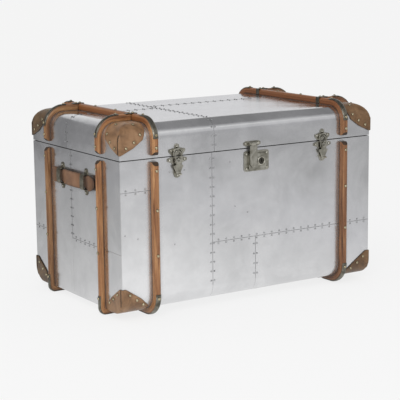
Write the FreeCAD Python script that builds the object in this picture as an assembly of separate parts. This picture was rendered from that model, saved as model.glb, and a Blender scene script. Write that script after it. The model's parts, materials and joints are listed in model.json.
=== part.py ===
import FreeCAD, Part
import math
import os

# Metal-clad trunk with wooden battens, leather corners, two draw latches, a hasp lock and two strap handles.
# Millimetres. +X to the trunk's right, -Y to its front, +Z up, origin on the floor under the middle.

V = FreeCAD.Vector

# Aluminium box over a plywood carcass
box_length = 900.0
box_depth = 550.0
body_height = 444.0
lid_height = 98.0
roll_radius = 45.0
rim_gap = 2.4
sheet_thickness = 1.0
sheet_joint = 0.4
ply_thickness = 12.0

# Seams of the aluminium sheets: across and along from the middle, heights from the box's underside
front_seam_x = -142.0
lower_seam_x = 12.0
waist_seam_height = 175.0
patch_seam_height = 353.0
end_seam_y = 24.0
lid_cross_seam_x = -133.0
lid_long_seam_y = 97.0
lid_end_seam_y = 48.0

# Wooden battens
batten_width = 20.0
batten_thickness = 20.0
end_batten_width = 18.0
end_batten_thickness = 16.0
batten_end_bevel = 10.0
bevel_overrun = 1.0
hoop_inset = 109.0
end_batten_inset = 111.0
lid_batten_clear = 10.0
body_batten_clear = 10.0
end_bend_radius = 17.0

# Steel straps over the bends and clips over the joints of the battens
strap_width = 17.0
end_strap_width = 15.0
strap_thickness = 1.5
lid_strap_run = 14.0
lid_strap_drop = 40.0
foot_strap_rise = 4.0
foot_strap_run = 40.0
end_strap_rise = 36.0
end_strap_run = 50.0
clip_width = 16.0
clip_tail = 16.0
clip_leg_gap = 2.0

# Leather corners: tip on the box's edge, then the points of the shield's edge as (along, from the flat)
leather_thickness = 3.0
corner_batten_gap = 9.0
lid_corner_tip = (4.0, 82.0)
lid_corner_bulge = [(44.0, 64.0), (78.0, 40.0)]
lid_corner_shoulder = 14.0
body_corner_tip = (12.0, 74.0)
body_corner_bulge = [(62.0, 41.0)]
body_corner_shoulder = 14.0
corner_back_cut = 22.0

# Dome-headed studs and rivets
stud_radius = 5.0
stud_height = 2.6
stud_crown_radius = 2.6
stud_sides = 6
rivet_radius = 4.2
lid_leg_stud_drops = [35.0, 66.0]
lid_top_stud_y = 62.0
strap_stud_inset = 7.0
body_stud_heights = [40.0, 164.0, 296.0, 410.0]
clip_stud_step = 13.0

# Length of a flat on the faceted pins, barrels and bores of the fittings
round_flat = 2.7
round_least_sides = 8

# Rear hinges, set in from the hoops
hinge_inset = 126.0
hinge_width = 62.0
hinge_leaf_height = 34.0
hinge_leaf_thickness = 2.0
hinge_axis_offset = 6.0
hinge_knuckle_radius = 5.0
hinge_pin_radius = 2.2
hinge_rivet_spread = 20.0
hinge_rivet_height = 22.0
knuckle_gap = 0.4
running_clearance = 0.05
swing_clearance = 0.5

# Draw latches, set in from the hoops; heights from the rim line and distances out from the front
latch_inset = 79.0
plate_thickness = 2.0
lobe_radius = 8.0
keeper_side_rivet = (20.0, 16.0)
keeper_top_rivet = 28.0
hood_half_width = 16.0
hood_wall = 4.0
hood_height = 23.5
hood_depth = 6.0
hood_round = 14.0
nose_half_width = 6.0
nose_heights = (6.5, 11.5)
base_ear_rivet = (25.0, -10.5)
base_foot_rivet = -55.0
base_half_width = 17.0
base_waist = -20.0
base_foot_half_width = 9.0
lever_axis = (7.0, -9.0)
lug_half_height = 3.5
lever_head_half = 3.75
lever_pin_radius = 2.0
lever_half_width = 8.0
lever_tip_half_width = 6.5
lever_thickness = 3.5
lever_length = 38.0
lever_lip = 4.5
lug_half_width = 3.0
loop_axis = (8.0, -19.0)
loop_wire_radius = 1.5
loop_half_width = 10.0
loop_top = 14.5
loop_corner = 6.0

# Hasp and lock, heights from the rim line and distances out from the front
hasp_half_width = 13.0
hasp_neck_half_width = 8.5
hasp_axis = (7.4, 13.5)
hasp_barrel_radius = 5.0
hasp_pin_radius = 2.0
hasp_rivet_x = 22.6
hasp_plate_half_height = 7.5
hasp_knuckle_length = 6.0
hasp_thickness = 2.6
hasp_gap = 0.4
hasp_foot = -58.0
hasp_chamfer = 9.0
lock_middle_x = 15.5
lock_half_width = 45.0
lock_heights = (-70.0, -9.0)
lock_corner_round = 7.0
lock_rivet_inset = 8.5
case_inset_x = 14.0
case_inset_z = 8.0
case_depth = 6.0
case_wall = 1.5
key_middle = (28.7, -40.0)
plug_radius = 9.0
plug_stand = 1.6
escutcheon_radius = 13.6
escutcheon_height = 1.2
keyhole_width = 2.0
keyhole_height = 9.0
keyhole_depth = 2.5
drive_radius = 7.8
drive_pin_radius = 1.5
drive_play = 0.5
part_gap = 0.3
bolt_height = -36.0
bolt_half_height = 2.4
bolt_head_x = (4.0, 17.5)
bolt_tail_x = (14.0, 40.5)
bolt_tail_half_height = 7.0
bolt_thickness = 1.8
staple_half_width = 2.0
staple_half_height = 6.0
staple_eye_half_height = 3.2
staple_slot_side = 0.6
staple_slot_foot = 2.0

# Strap handles, on the ends
handle_drop = 84.0
handle_end_gap = 27.0
handle_half_width = 24.0
grip_half_width = 23.0
neck_half_width = 18.0
handle_end_cut = 10.0
handle_thickness = 5.0
handle_bow = 8.0
handle_seat_gap = 0.3
bracket_inset = 53.0
bracket_half_width = 12.0
bracket_thickness = 2.0
bracket_inner_half = 21.5
bracket_inner_height = 11.5
bracket_round = 4.0
bracket_rivet_z = 32.0
bracket_foot_half_width = 7.5
neck_play = 3.0

# Levels and faces that the rest is set from
half_length = box_length / 2
half_depth = box_depth / 2
box_bottom = batten_thickness + strap_thickness
rim = box_bottom + body_height
lid_top = rim + lid_height
lid_low = rim + rim_gap / 2
body_high = rim - rim_gap / 2
hoop_x = half_length - hoop_inset
end_batten_y = half_depth - end_batten_inset
latch_x = hoop_x - latch_inset
hinge_x = hoop_x - hinge_inset
corner_reach = hoop_inset - batten_width / 2 - corner_batten_gap
handle_half_length = end_batten_y - end_batten_width / 2 - handle_end_gap
bracket_y = handle_half_length - bracket_inset
handle_middle = rim - handle_drop
end_thinner = batten_thickness - end_batten_thickness
carcass = sheet_thickness + ply_thickness
reach = box_length + box_depth
everywhere = (-reach, reach)


def on_plane(axis, at, u, v):
    return {"x": V(at, u, v), "y": V(u, at, v), "z": V(u, v, at)}[axis]


def path_edges(axis, at, corners, closed=True):
    """Straight runs between corners (u, v) or (u, v, radius), with a tangent arc where there is a radius."""
    points = [V(c[0], c[1], 0) for c in corners]
    radii = [c[2] if len(c) > 2 else 0 for c in corners]
    count = len(points)
    stops = []
    for i, point in enumerate(points):
        if radii[i] == 0:
            stops.append((point, point, point))
            continue
        back = (points[i - 1] - point).normalize()
        ahead = (points[(i + 1) % count] - point).normalize()
        half_turn = back.getAngle(ahead) / 2
        tangent = radii[i] / math.tan(half_turn)
        to_arc = radii[i] / math.sin(half_turn) - radii[i]
        middle = point + (back + ahead).normalize() * to_arc
        stops.append((point + back * tangent, middle, point + ahead * tangent))
    edges = []
    for i, (start, middle, end) in enumerate(stops):
        if radii[i] > 0:
            spots = [on_plane(axis, at, p.x, p.y) for p in (start, middle, end)]
            edges.append(Part.Arc(*spots).toShape())
        following = stops[(i + 1) % count][0]
        if (closed or i < count - 1) and (following - end).Length > 1e-6:
            run = [on_plane(axis, at, p.x, p.y) for p in (end, following)]
            edges.append(Part.LineSegment(*run).toShape())
    return edges


def prism(axis, start, end, corners):
    """Solid of one outline, pulled along an axis from start to end."""
    face = Part.Face(Part.Wire(path_edges(axis, start, corners)))
    return face.extrude(on_plane(axis, end, 0, 0) - on_plane(axis, start, 0, 0))


def block(x=everywhere, y=everywhere, z=everywhere):
    low = V(min(x), min(y), min(z))
    size = V(max(x), max(y), max(z)) - low
    return Part.makeBox(size.x, size.y, size.z, low)


def ring(middle, radius, outside=False):
    """Corners of a many-sided ring: inside the circle for a bar, outside it for a bore."""
    sides = max(round_least_sides, 4 * math.ceil(math.pi * radius / round_flat / 2))
    corner = radius / math.cos(math.pi / sides) if outside else radius
    turns = [2 * math.pi * (i + 0.5) / sides for i in range(sides)]
    return [(middle[0] + corner * math.cos(a), middle[1] + corner * math.sin(a)) for a in turns]


def rod(axis, start, end, middle, radius, outside=False):
    """Round bar along an axis, or its bore; middle is its place on the plane across that axis."""
    return prism(axis, start, end, ring(middle, radius, outside))


def union(solids):
    return solids[0].multiFuse(solids[1:]).removeSplitter()


def both_sides(x, half):
    """Outline about an upright middle line, from the corners of its right half."""
    right = [(x + u, *rest) for u, *rest in half]
    return right + [(x - u, *rest) for u, *rest in reversed(half)]


def flip_x(shape):
    return shape.mirror(V(0, 0, 0), V(1, 0, 0))


def flip_y(shape):
    return shape.mirror(V(0, 0, 0), V(0, 1, 0))


def four_corners(solids):
    """The solids of the left front corner, and their copies at the other three."""
    left = solids + [flip_y(s) for s in solids]
    return left + [flip_x(s) for s in left]


def group(solids):
    return Part.makeCompound(solids)


def stud(point, normal, radius=stud_radius):
    """Low faceted head of a stud or rivet, standing on a point."""
    def loop(loop_radius, height):
        turns = [2 * math.pi * i / stud_sides for i in range(stud_sides + 1)]
        return [V(loop_radius * math.cos(a), loop_radius * math.sin(a), height) for a in turns]

    foot = loop(radius, 0)
    crown = loop(radius * stud_crown_radius / stud_radius, stud_height)
    sides = [[foot[i], foot[i + 1], crown[i + 1], crown[i], foot[i]] for i in range(stud_sides)]
    faces = [Part.Face(Part.makePolygon(edge)) for edge in [foot, crown, *sides]]
    head = Part.Solid(Part.Shell(faces))
    head.Placement = FreeCAD.Placement(point, FreeCAD.Rotation(V(0, 0, 1), normal))
    return head


# Sections of the box, grown outwards by the same amount all round, or by less at the sides

def lid_section(half_width, grow=0.0, low=lid_low, thinner=0.0):
    side = half_width + grow - thinner
    high = lid_top + grow
    turn = roll_radius + grow
    return [(-side, low), (side, low), (side, high, turn), (-side, high, turn)]


def body_section(half_width, grow, turn, high=body_high, thinner=0.0):
    side = half_width + grow - thinner
    low = box_bottom - grow
    return [(-side, high), (-side, low, turn), (side, low, turn), (side, high)]


def roll_band(axis, half_run, flat, near, far):
    """Quarter ring over the rolled edge at the front or the left end, from one distance out to another."""
    level = lid_top - roll_radius

    def quarter(grow):
        turn = roll_radius + grow
        bend = turn * math.sqrt(0.5)
        spots = [(-flat - turn, level), (-flat - bend, level + bend), (-flat, level + turn)]
        return [on_plane(axis, -half_run, *s) for s in spots]

    outer, inner = quarter(far), quarter(near)
    edges = [Part.Arc(*outer), Part.LineSegment(outer[2], inner[2])]
    edges += [Part.Arc(*inner), Part.LineSegment(inner[0], outer[0])]
    face = Part.Face(Part.Wire(Part.sortEdges([e.toShape() for e in edges])[0]))
    return face.extrude(on_plane(axis, 2 * half_run, 0, 0))


def mitres(side_x, side_y):
    """Outlines from above that part the front's rolled edge and the left end's along the corner's diagonal."""
    flat_x, flat_y = half_length - roll_radius, half_depth - roll_radius
    front = both_sides(0, [(side_x, -side_y), (flat_x, -flat_y)])
    end = both_sides(0, [(side_y, -side_x), (flat_y, -flat_x)])
    return front, [(v, u) for u, v in end]


def lid_skin(near, far):
    """Layer over the lid from one distance out to another: top, rolled edges and walls."""
    flat_x, flat_y = half_length - roll_radius, half_depth - roll_radius
    side_x, side_y = half_length + far, half_depth + far
    inner_x, inner_y = half_length + near, half_depth + near
    level = lid_top - roll_radius
    front_mitre, end_mitre = mitres(side_x, side_y)
    front_roll = roll_band("x", side_x, flat_y, near, far)
    end_roll = roll_band("y", side_y, flat_x, near, far)
    front = [
        front_roll.common(prism("z", level, lid_top + far, front_mitre)),
        block((-side_x, side_x), (-side_y, -inner_y), (lid_low, level)),
    ]
    end = [
        end_roll.common(prism("z", level, lid_top + far, end_mitre)),
        block((-side_x, -inner_x), (-inner_y, inner_y), (lid_low, level)),
    ]
    top = block((-flat_x, flat_x), (-flat_y, flat_y), (lid_top + near, lid_top + far))
    return union([top, *front, *[flip_y(s) for s in front], *end, *[flip_x(s) for s in end]])


def body_form(grow, end_grow):
    ends = half_length + end_grow
    return prism("x", -ends, ends, body_section(half_depth, grow, roll_radius + grow))


# Carcass

def rail_section(side, level, inwards, downwards):
    """Corner rail between two boards: quarter round outside, flat chamfer inside."""
    middle = (side + inwards * roll_radius, level + downwards * roll_radius)
    bend = (roll_radius - sheet_thickness) * math.sqrt(0.5)
    outer = [
        (side + inwards * sheet_thickness, middle[1]),
        (middle[0] - inwards * bend, middle[1] - downwards * bend),
        (middle[0], level + downwards * sheet_thickness),
    ]
    inner = [(middle[0], level + downwards * carcass), (side + inwards * carcass, middle[1])]
    return outer, inner


def rail(axis, start, end, section):
    outer, inner = section
    arc = Part.Arc(*[on_plane(axis, start, *p) for p in outer]).toShape()
    stops = [outer[2], *inner, outer[0]]
    runs = [
        Part.LineSegment(on_plane(axis, start, *a), on_plane(axis, start, *b)).toShape()
        for a, b in zip(stops, stops[1:])
    ]
    face = Part.Face(Part.Wire([arc, *runs]))
    return face.extrude(on_plane(axis, end, 0, 0) - on_plane(axis, start, 0, 0))


def carcass_parts():
    inner_x = half_length - carcass
    panel_z = (box_bottom + roll_radius, body_high)
    front = block((-inner_x, inner_x), (-half_depth + sheet_thickness, -half_depth + carcass), panel_z)
    left = prism(
        "x", -half_length + sheet_thickness, -inner_x,
        body_section(half_depth, -sheet_thickness, roll_radius - sheet_thickness),
    )
    floor_y = half_depth - roll_radius
    floor_z = (box_bottom + sheet_thickness, box_bottom + carcass)
    floor = block((-inner_x, inner_x), (-floor_y, floor_y), floor_z)
    body_rail = rail("x", -inner_x, inner_x, rail_section(-half_depth, box_bottom, 1, 1))
    return {
        "body_front_panel": front,
        "body_back_panel": flip_y(front),
        "body_left_panel": left,
        "body_right_panel": flip_x(left),
        "body_floor_panel": floor,
        "body_corner_rails": group([body_rail, flip_y(body_rail)]),
    }


def lid_carcass_parts():
    flat_x = half_length - roll_radius
    flat_y = half_depth - roll_radius
    top = block((-flat_x, flat_x), (-flat_y, flat_y), (lid_top - carcass, lid_top - sheet_thickness))
    front_mitre, end_mitre = mitres(half_length, half_depth)
    front_rail = rail("x", -half_length, half_length, rail_section(-half_depth, lid_top, 1, -1))
    end_rail = rail("y", -half_depth, half_depth, rail_section(-half_length, lid_top, 1, -1))
    front_rail = front_rail.common(prism("z", lid_low, lid_top, front_mitre))
    end_rail = end_rail.common(prism("z", lid_low, lid_top, end_mitre))
    skirt_z = (lid_low, lid_top - roll_radius)
    skirt_x = half_length - sheet_thickness
    skirt_y = half_depth - carcass
    front_skirt = block((-skirt_x, skirt_x), (-half_depth + sheet_thickness, -skirt_y), skirt_z)
    end_skirt = block((-skirt_x, -half_length + carcass), (-skirt_y, skirt_y), skirt_z)
    return {
        "lid_top_panel": top,
        "lid_corner_rails": group([front_rail, flip_y(front_rail), end_rail, flip_x(end_rail)]),
        "lid_skirt_boards": group([front_skirt, flip_y(front_skirt), end_skirt, flip_x(end_skirt)]),
    }


# Aluminium sheets, parted along their riveted seams

def beside(seam):
    return (-reach, seam - sheet_joint / 2), (seam + sheet_joint / 2, reach)


def pieces_of(shell, regions):
    return group([s for r in regions for s in shell.common(r).Solids])


def sheet_parts():
    wrap_x = half_length - sheet_thickness
    wrap = prism("x", -wrap_x, wrap_x, body_section(half_depth, 0, roll_radius))
    wrap = wrap.cut(prism("x", -half_length, half_length, body_section(
        half_depth, -sheet_thickness, roll_radius - sheet_thickness, body_high + sheet_thickness)))
    floor_y = half_depth - roll_radius
    left, right = beside(front_seam_x)
    under_left, under_right = beside(lower_seam_x)
    below, above = beside(box_bottom + waist_seam_height)
    under_patch, patch_z = beside(box_bottom + patch_seam_height)
    patch_x = (-reach, -hoop_x)
    front_y = (-reach, -floor_y)
    patch = block(patch_x, front_y, patch_z)
    around_patch = block((-reach, -hoop_x + sheet_joint), front_y, (under_patch[1], reach))
    front_regions = [
        patch,
        block(left, front_y).cut(around_patch),
        block(right, front_y, above),
        block((right[0], under_left[1]), front_y, below),
        block(under_right, front_y, below),
    ]
    left_end = prism("x", -half_length, -wrap_x, body_section(half_depth, 0, roll_radius))
    near_end, far_end = beside(end_seam_y)
    end_sheets = pieces_of(left_end, [
        block(y=far_end), block(y=near_end, z=above), block(y=near_end, z=below),
    ])
    lid_shell = lid_skin(-sheet_thickness, 0)
    lid_left, lid_right = beside(lid_cross_seam_x)
    lid_front, lid_back = beside(lid_long_seam_y)
    lid_near, lid_far = beside(lid_end_seam_y)
    return {
        "body_front_sheets": pieces_of(wrap, front_regions),
        "body_bottom_sheet": wrap.common(block(y=(-floor_y, floor_y))).Solids[0],
        "body_back_sheets": pieces_of(wrap, [block(left, (floor_y, reach)), block(right, (floor_y, reach))]),
        "body_left_sheets": end_sheets,
        "body_right_sheets": flip_x(end_sheets),
        "lid_sheets": pieces_of(lid_shell, [
            block(lid_left, lid_near), block(lid_left, lid_far),
            block(lid_right, lid_front), block(lid_right, lid_back),
        ]),
    }


# Battens

def end_bevel(axis, start, end, side, tip, along):
    """Wedge that bevels a batten's end; side is its outer face, tip its end and along the way it runs."""
    out = math.copysign(1, side)
    spare = batten_end_bevel
    far = batten_end_bevel + spare
    return prism(axis, start, end, [
        (side + out * spare, tip - along * spare),
        (side + out * spare, tip + along * far),
        (side - out * far, tip - along * spare),
    ])


def hoop(middle, section, core_section, tip, along):
    span = (middle - batten_width / 2, middle + batten_width / 2)
    core = prism("x", *span, core_section)
    batten = prism("x", *span, section).cut(core)
    side = half_depth + batten_thickness
    for face in (-side, side):
        cutter = (span[0] - bevel_overrun, span[1] + bevel_overrun)
        batten = batten.cut(end_bevel("x", *cutter, face, tip, along))
    return batten


def end_batten(section, core_section, tip, along):
    """Batten of the left end at the front: up the end and over, or down and under, to the side of the hoop."""
    span = (-end_batten_y - end_batten_width / 2, -end_batten_y + end_batten_width / 2)
    core = prism("y", *span, core_section)
    batten = prism("y", *span, section).cut(core)
    batten = batten.common(block(x=(-reach, -hoop_x - batten_width / 2)))
    side = -half_length - end_batten_thickness
    cutter = (span[0] - bevel_overrun, span[1] + bevel_overrun)
    return batten.cut(end_bevel("y", *cutter, side, tip, along))


def batten_parts():
    lid_tip = rim + lid_batten_clear
    body_tip = rim - body_batten_clear
    lid_hoop = hoop(
        -hoop_x,
        lid_section(half_depth, batten_thickness, lid_tip),
        lid_section(half_depth, 0, lid_low),
        lid_tip, 1,
    )
    body_hoop = hoop(
        -hoop_x,
        body_section(half_depth, batten_thickness, roll_radius + batten_thickness, body_tip),
        body_section(half_depth, 0, roll_radius),
        body_tip, -1,
    )
    lid_end = end_batten(
        lid_section(half_length, batten_thickness, lid_tip, end_thinner),
        lid_section(half_length), lid_tip, 1,
    )
    body_end = end_batten(
        body_section(half_length, batten_thickness, end_bend_radius, body_tip, end_thinner),
        body_section(half_length, 0, 0), body_tip, -1,
    )
    parts = {}
    for name, left_hoop, left_front in (("lid", lid_hoop, lid_end), ("body", body_hoop, body_end)):
        parts[name + "_hoop_left"] = left_hoop
        parts[name + "_hoop_right"] = flip_x(left_hoop)
        parts[name + "_end_batten_left_front"] = left_front
        parts[name + "_end_batten_left_back"] = flip_y(left_front)
        parts[name + "_end_batten_right_front"] = flip_x(left_front)
        parts[name + "_end_batten_right_back"] = flip_x(flip_y(left_front))
    return parts


# Steel straps over the bends, and clips where an end batten meets a hoop

def strap_over(axis, middle, width, outer_section, inner_section, window):
    span = (middle - width / 2, middle + width / 2)
    return prism(axis, *span, outer_section).cut(prism(axis, *span, inner_section)).common(window)


def strap_parts():
    on = batten_thickness
    over = batten_thickness + strap_thickness
    flat_x = half_length - roll_radius
    flat_y = half_depth - roll_radius
    lid_z = (lid_top - lid_strap_drop, reach)
    foot_z = (-reach, box_bottom + roll_radius + foot_strap_rise)
    end_z = (-reach, box_bottom + end_strap_rise)
    lid_hoop_strap = strap_over(
        "x", -hoop_x, strap_width, lid_section(half_depth, over), lid_section(half_depth, on),
        block(y=(-reach, -flat_y + lid_strap_run), z=lid_z),
    )
    lid_end_strap = strap_over(
        "y", -end_batten_y, end_strap_width,
        lid_section(half_length, over, thinner=end_thinner), lid_section(half_length, on, thinner=end_thinner),
        block(x=(-reach, -flat_x + lid_strap_run), z=lid_z),
    )
    foot_strap = strap_over(
        "x", -hoop_x, strap_width,
        body_section(half_depth, over, roll_radius + over), body_section(half_depth, on, roll_radius + on),
        block(y=(-reach, -flat_y + foot_strap_run), z=foot_z),
    )
    end_strap = strap_over(
        "y", -end_batten_y, end_strap_width,
        body_section(half_length, over, end_bend_radius + strap_thickness, thinner=end_thinner),
        body_section(half_length, on, end_bend_radius, thinner=end_thinner),
        block(x=(-reach, -half_length + end_strap_run), z=end_z),
    )
    lid_clip = joint_clip(lid_top, 1)
    body_clip = joint_clip(box_bottom, -1)
    return {
        "lid_bend_straps": group(four_corners([lid_hoop_strap, lid_end_strap])),
        "body_bend_straps": group(four_corners([foot_strap, end_strap])),
        "lid_joint_clips": group(four_corners([lid_clip])),
        "body_joint_clips": group(four_corners([body_clip])),
    }


def joint_clip(level, outwards):
    """Strip over a hoop and the end batten that meets it, with a leg down the hoop's inner side."""
    face = level + outwards * batten_thickness
    top = face + outwards * strap_thickness
    inner_side = -hoop_x + batten_width / 2
    span = (-end_batten_y - clip_width / 2, -end_batten_y + clip_width / 2)
    tail = -hoop_x - batten_width / 2 - clip_tail
    strip = block((tail, inner_side + strap_thickness), span, (face, top))
    leg = block((inner_side, inner_side + strap_thickness), span, (level + outwards * clip_leg_gap, top))
    return union([strip, leg])


# Leather corners

def shield(tip, bulge, shoulder):
    """Outline of a corner's face: from its tip on the box's edge, round its bulge, to its shoulder."""
    spare = leather_thickness + corner_reach
    return [
        (-spare, tip[1]), tip, *bulge,
        (corner_reach, shoulder), (corner_reach, -spare), (-spare, -spare),
    ]


def leather_corner(skin, level, downwards, face):
    """A corner cut from the skin over the left front corner of the box."""
    spare = leather_thickness + corner_reach
    front = [(-half_length + u, level + downwards * v) for u, v in face]
    end = [(-half_depth + u, level + downwards * v) for u, v in face]
    back = [
        (-half_length - spare, -half_depth - spare), (-half_length + corner_reach, -half_depth - spare),
        (-half_length + corner_reach, -half_depth + corner_reach - corner_back_cut),
        (-half_length + corner_reach - corner_back_cut, -half_depth + corner_reach),
        (-half_length - spare, -half_depth + corner_reach),
    ]
    corner = skin.common(prism("y", -reach, 0, front))
    corner = corner.common(prism("x", -reach, 0, end))
    return corner.common(prism("z", -reach, reach, back)).Solids[0]


def leather_parts():
    lid_layer = lid_skin(0, leather_thickness)
    body_layer = body_form(leather_thickness, leather_thickness).cut(body_form(0, 0))
    lid_face = shield(lid_corner_tip, lid_corner_bulge, lid_corner_shoulder)
    body_face = shield(body_corner_tip, body_corner_bulge, body_corner_shoulder)
    lid_corner = leather_corner(lid_layer, lid_top, -1, lid_face)
    body_corner = leather_corner(body_layer, box_bottom, 1, body_face)
    return {
        "lid_leather_corners": group(four_corners([lid_corner])),
        "body_leather_corners": group(four_corners([body_corner])),
    }


# Studs

def roll_spot(drop, grow):
    """Spot on a rolled edge, drop from the flat: how far in from the face, how far from the flat, and its lean."""
    if drop >= roll_radius:
        return -grow, drop, 0.0
    lean = math.asin(1 - drop / roll_radius)
    turn = roll_radius + grow
    return roll_radius - turn * math.cos(lean), roll_radius - turn * math.sin(lean), lean


def front_stud(x, level, downwards, drop, grow):
    inset, depth, lean = roll_spot(drop, grow)
    point = V(x, -half_depth + inset, level + downwards * depth)
    return stud(point, V(0, -math.cos(lean), -downwards * math.sin(lean)))


def end_stud(y, level, downwards, drop, grow, rolled=True):
    inset, depth, lean = roll_spot(drop, grow) if rolled else (-grow, drop, 0.0)
    point = V(-half_length + inset + end_thinner, y, level + downwards * depth)
    return stud(point, V(-math.cos(lean), 0, -downwards * math.sin(lean)))


def stud_parts():
    on = batten_thickness
    over = batten_thickness + strap_thickness
    lid_battens, body_battens = [], []
    for drop in lid_leg_stud_drops:
        grow = over if drop < lid_strap_drop else on
        lid_battens.append(front_stud(-hoop_x, lid_top, -1, drop, grow))
        lid_battens.append(end_stud(-end_batten_y, lid_top, -1, drop, grow))
    strap_end = roll_radius + lid_strap_run - strap_stud_inset
    for x, y, height in (
        (-hoop_x, -half_depth + strap_end, over), (-half_length + strap_end, -end_batten_y, over),
        (-hoop_x, -end_batten_y, over), (-hoop_x - clip_stud_step, -end_batten_y, over),
        (-hoop_x, -lid_top_stud_y, on),
    ):
        lid_battens.append(stud(V(x, y, lid_top + height), V(0, 0, 1)))
    for height in body_stud_heights:
        front_grow = over if height < roll_radius + foot_strap_rise else on
        end_grow = over if height < end_strap_rise + stud_radius else on
        end_height = end_strap_rise - strap_stud_inset if end_grow == over else height
        body_battens.append(front_stud(-hoop_x, box_bottom, 1, height, front_grow))
        body_battens.append(end_stud(-end_batten_y, box_bottom, 1, end_height, end_grow, False))
    return {
        "lid_batten_studs": group(four_corners(lid_battens)),
        "body_batten_studs": group(four_corners(body_battens)),
    }


# Rear hinges

def hinge_leaf(x, upwards):
    """Leaf with its knuckle; the body's also has the pin, which is staked into it."""
    axis = (half_depth + hinge_axis_offset, rim)
    leaf_y = (half_depth, half_depth + hinge_leaf_thickness)
    root = rim + upwards * (hinge_knuckle_radius + swing_clearance)
    leaf_x = (x - hinge_width / 2, x + hinge_width / 2)
    knuckle_x = (leaf_x[0], x - knuckle_gap / 2) if upwards < 0 else (x + knuckle_gap / 2, leaf_x[1])
    leaf = union([
        block(leaf_x, leaf_y, (root, rim + upwards * hinge_leaf_height)),
        block(knuckle_x, leaf_y, (rim, root)),
        rod("x", *knuckle_x, axis, hinge_knuckle_radius),
    ])
    if upwards < 0:
        return union([leaf, rod("x", *leaf_x, axis, hinge_pin_radius)])
    return leaf.cut(rod("x", *leaf_x, axis, hinge_pin_radius + running_clearance, True))


def hinge_rivets(x, upwards):
    spots = [(x - hinge_rivet_spread, hinge_rivet_height), (x + hinge_rivet_spread, hinge_rivet_height)]
    y = half_depth + hinge_leaf_thickness
    return [stud(V(u, y, rim + upwards * v), V(0, 1, 0), rivet_radius) for u, v in spots]


def hinge_parts():
    spots = (-hinge_x, hinge_x)
    return {
        "hinge_body_leaves": group([hinge_leaf(x, -1) for x in spots]),
        "hinge_lid_leaves": group([hinge_leaf(x, 1) for x in spots]),
    }


# Fittings on the front: x from the middle, heights from the rim line, out is the distance from the front

def out(distance):
    return -half_depth - distance


def front_prism(near, far, corners):
    """Solid of an outline drawn on the front, from one distance out to another."""
    return prism("y", out(near), out(far), [(c[0], rim + c[1], *c[2:]) for c in corners])


def front_rod(near, far, middle, radius, outside=False):
    return rod("y", out(near), out(far), (middle[0], rim + middle[1]), radius, outside)


def side_rod(start, end, middle, radius, outside=False):
    """Round bar across the trunk, or its bore; middle is (out, height)."""
    return rod("x", start, end, (out(middle[0]), rim + middle[1]), radius, outside)


def side_prism(start, end, corners):
    """Solid of an outline seen from the side, (out, height), across the trunk."""
    return prism("x", start, end, [(out(c[0]), rim + c[1], *c[2:]) for c in corners])


def front_block(x, near, far, heights):
    return block(x, (out(near), out(far)), [rim + h for h in heights])


def front_rivet(x, height):
    return stud(V(x, out(plate_thickness), rim + height), V(0, -1, 0), rivet_radius)


def mirrored(spot):
    return [(-spot[0], spot[1]), spot]


def keeper_rivet_spots(x):
    return [(x + u, v) for u, v in [*mirrored(keeper_side_rivet), (0, keeper_top_rivet)]]


def base_rivet_spots(x):
    return [(x + u, v) for u, v in [*mirrored(base_ear_rivet), (0, base_foot_rivet)]]


def latch_keeper(x):
    """Lobed plate on the lid with an arched hood, open below, round the nose that takes the loop."""
    foot = rim_gap / 2 + part_gap
    ear, ear_height = keeper_side_rivet
    lobe = lobe_radius - part_gap
    half_plate = [
        (hood_half_width, foot), (ear + lobe_radius, ear_height - lobe_radius / 2),
        (ear + lobe_radius, ear_height + lobe_radius / 2), (lobe_radius, keeper_top_rivet - lobe_radius / 2),
        (lobe_radius, keeper_top_rivet + lobe_radius, lobe),
    ]
    half_arch = [(hood_half_width, foot), (hood_half_width, hood_height, hood_round)]
    inner = hood_half_width - hood_wall
    half_hollow = [(inner, -hood_wall), (inner, hood_height - hood_wall, hood_round - hood_wall)]
    far = plate_thickness + hood_depth
    nose_far = loop_axis[0] - loop_wire_radius - swing_clearance
    hood = front_prism(0, far, both_sides(x, half_arch))
    hood = hood.cut(front_prism(plate_thickness, far, both_sides(x, half_hollow)))
    return union([
        front_prism(0, plate_thickness, both_sides(x, half_plate)),
        hood,
        front_block((x - nose_half_width, x + nose_half_width), 0, nose_far, nose_heights),
    ])


def latch_base(x):
    """Shield-shaped plate on the body, and the lug with the lever's pin staked in it."""
    head = -rim_gap / 2 - part_gap
    ear = base_ear_rivet[0] + lobe_radius
    half_plate = [
        (base_half_width, head), (ear, base_ear_rivet[1] + lobe_radius / 2),
        (ear, base_ear_rivet[1] - lobe_radius / 2), (base_half_width, base_waist),
        (base_foot_half_width, base_foot_rivet - lobe_radius, lobe_radius),
    ]
    span = (x - lug_half_width, x + lug_half_width)
    lug_z = (lever_axis[1] - lug_half_height, lever_axis[1] + lug_half_height)
    return union([
        front_prism(0, plate_thickness, both_sides(x, half_plate)),
        front_block(span, 0, lever_axis[0] + lug_half_height, lug_z),
        side_rod(x - lever_half_width, x + lever_half_width, lever_axis, lever_pin_radius),
    ])


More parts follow.
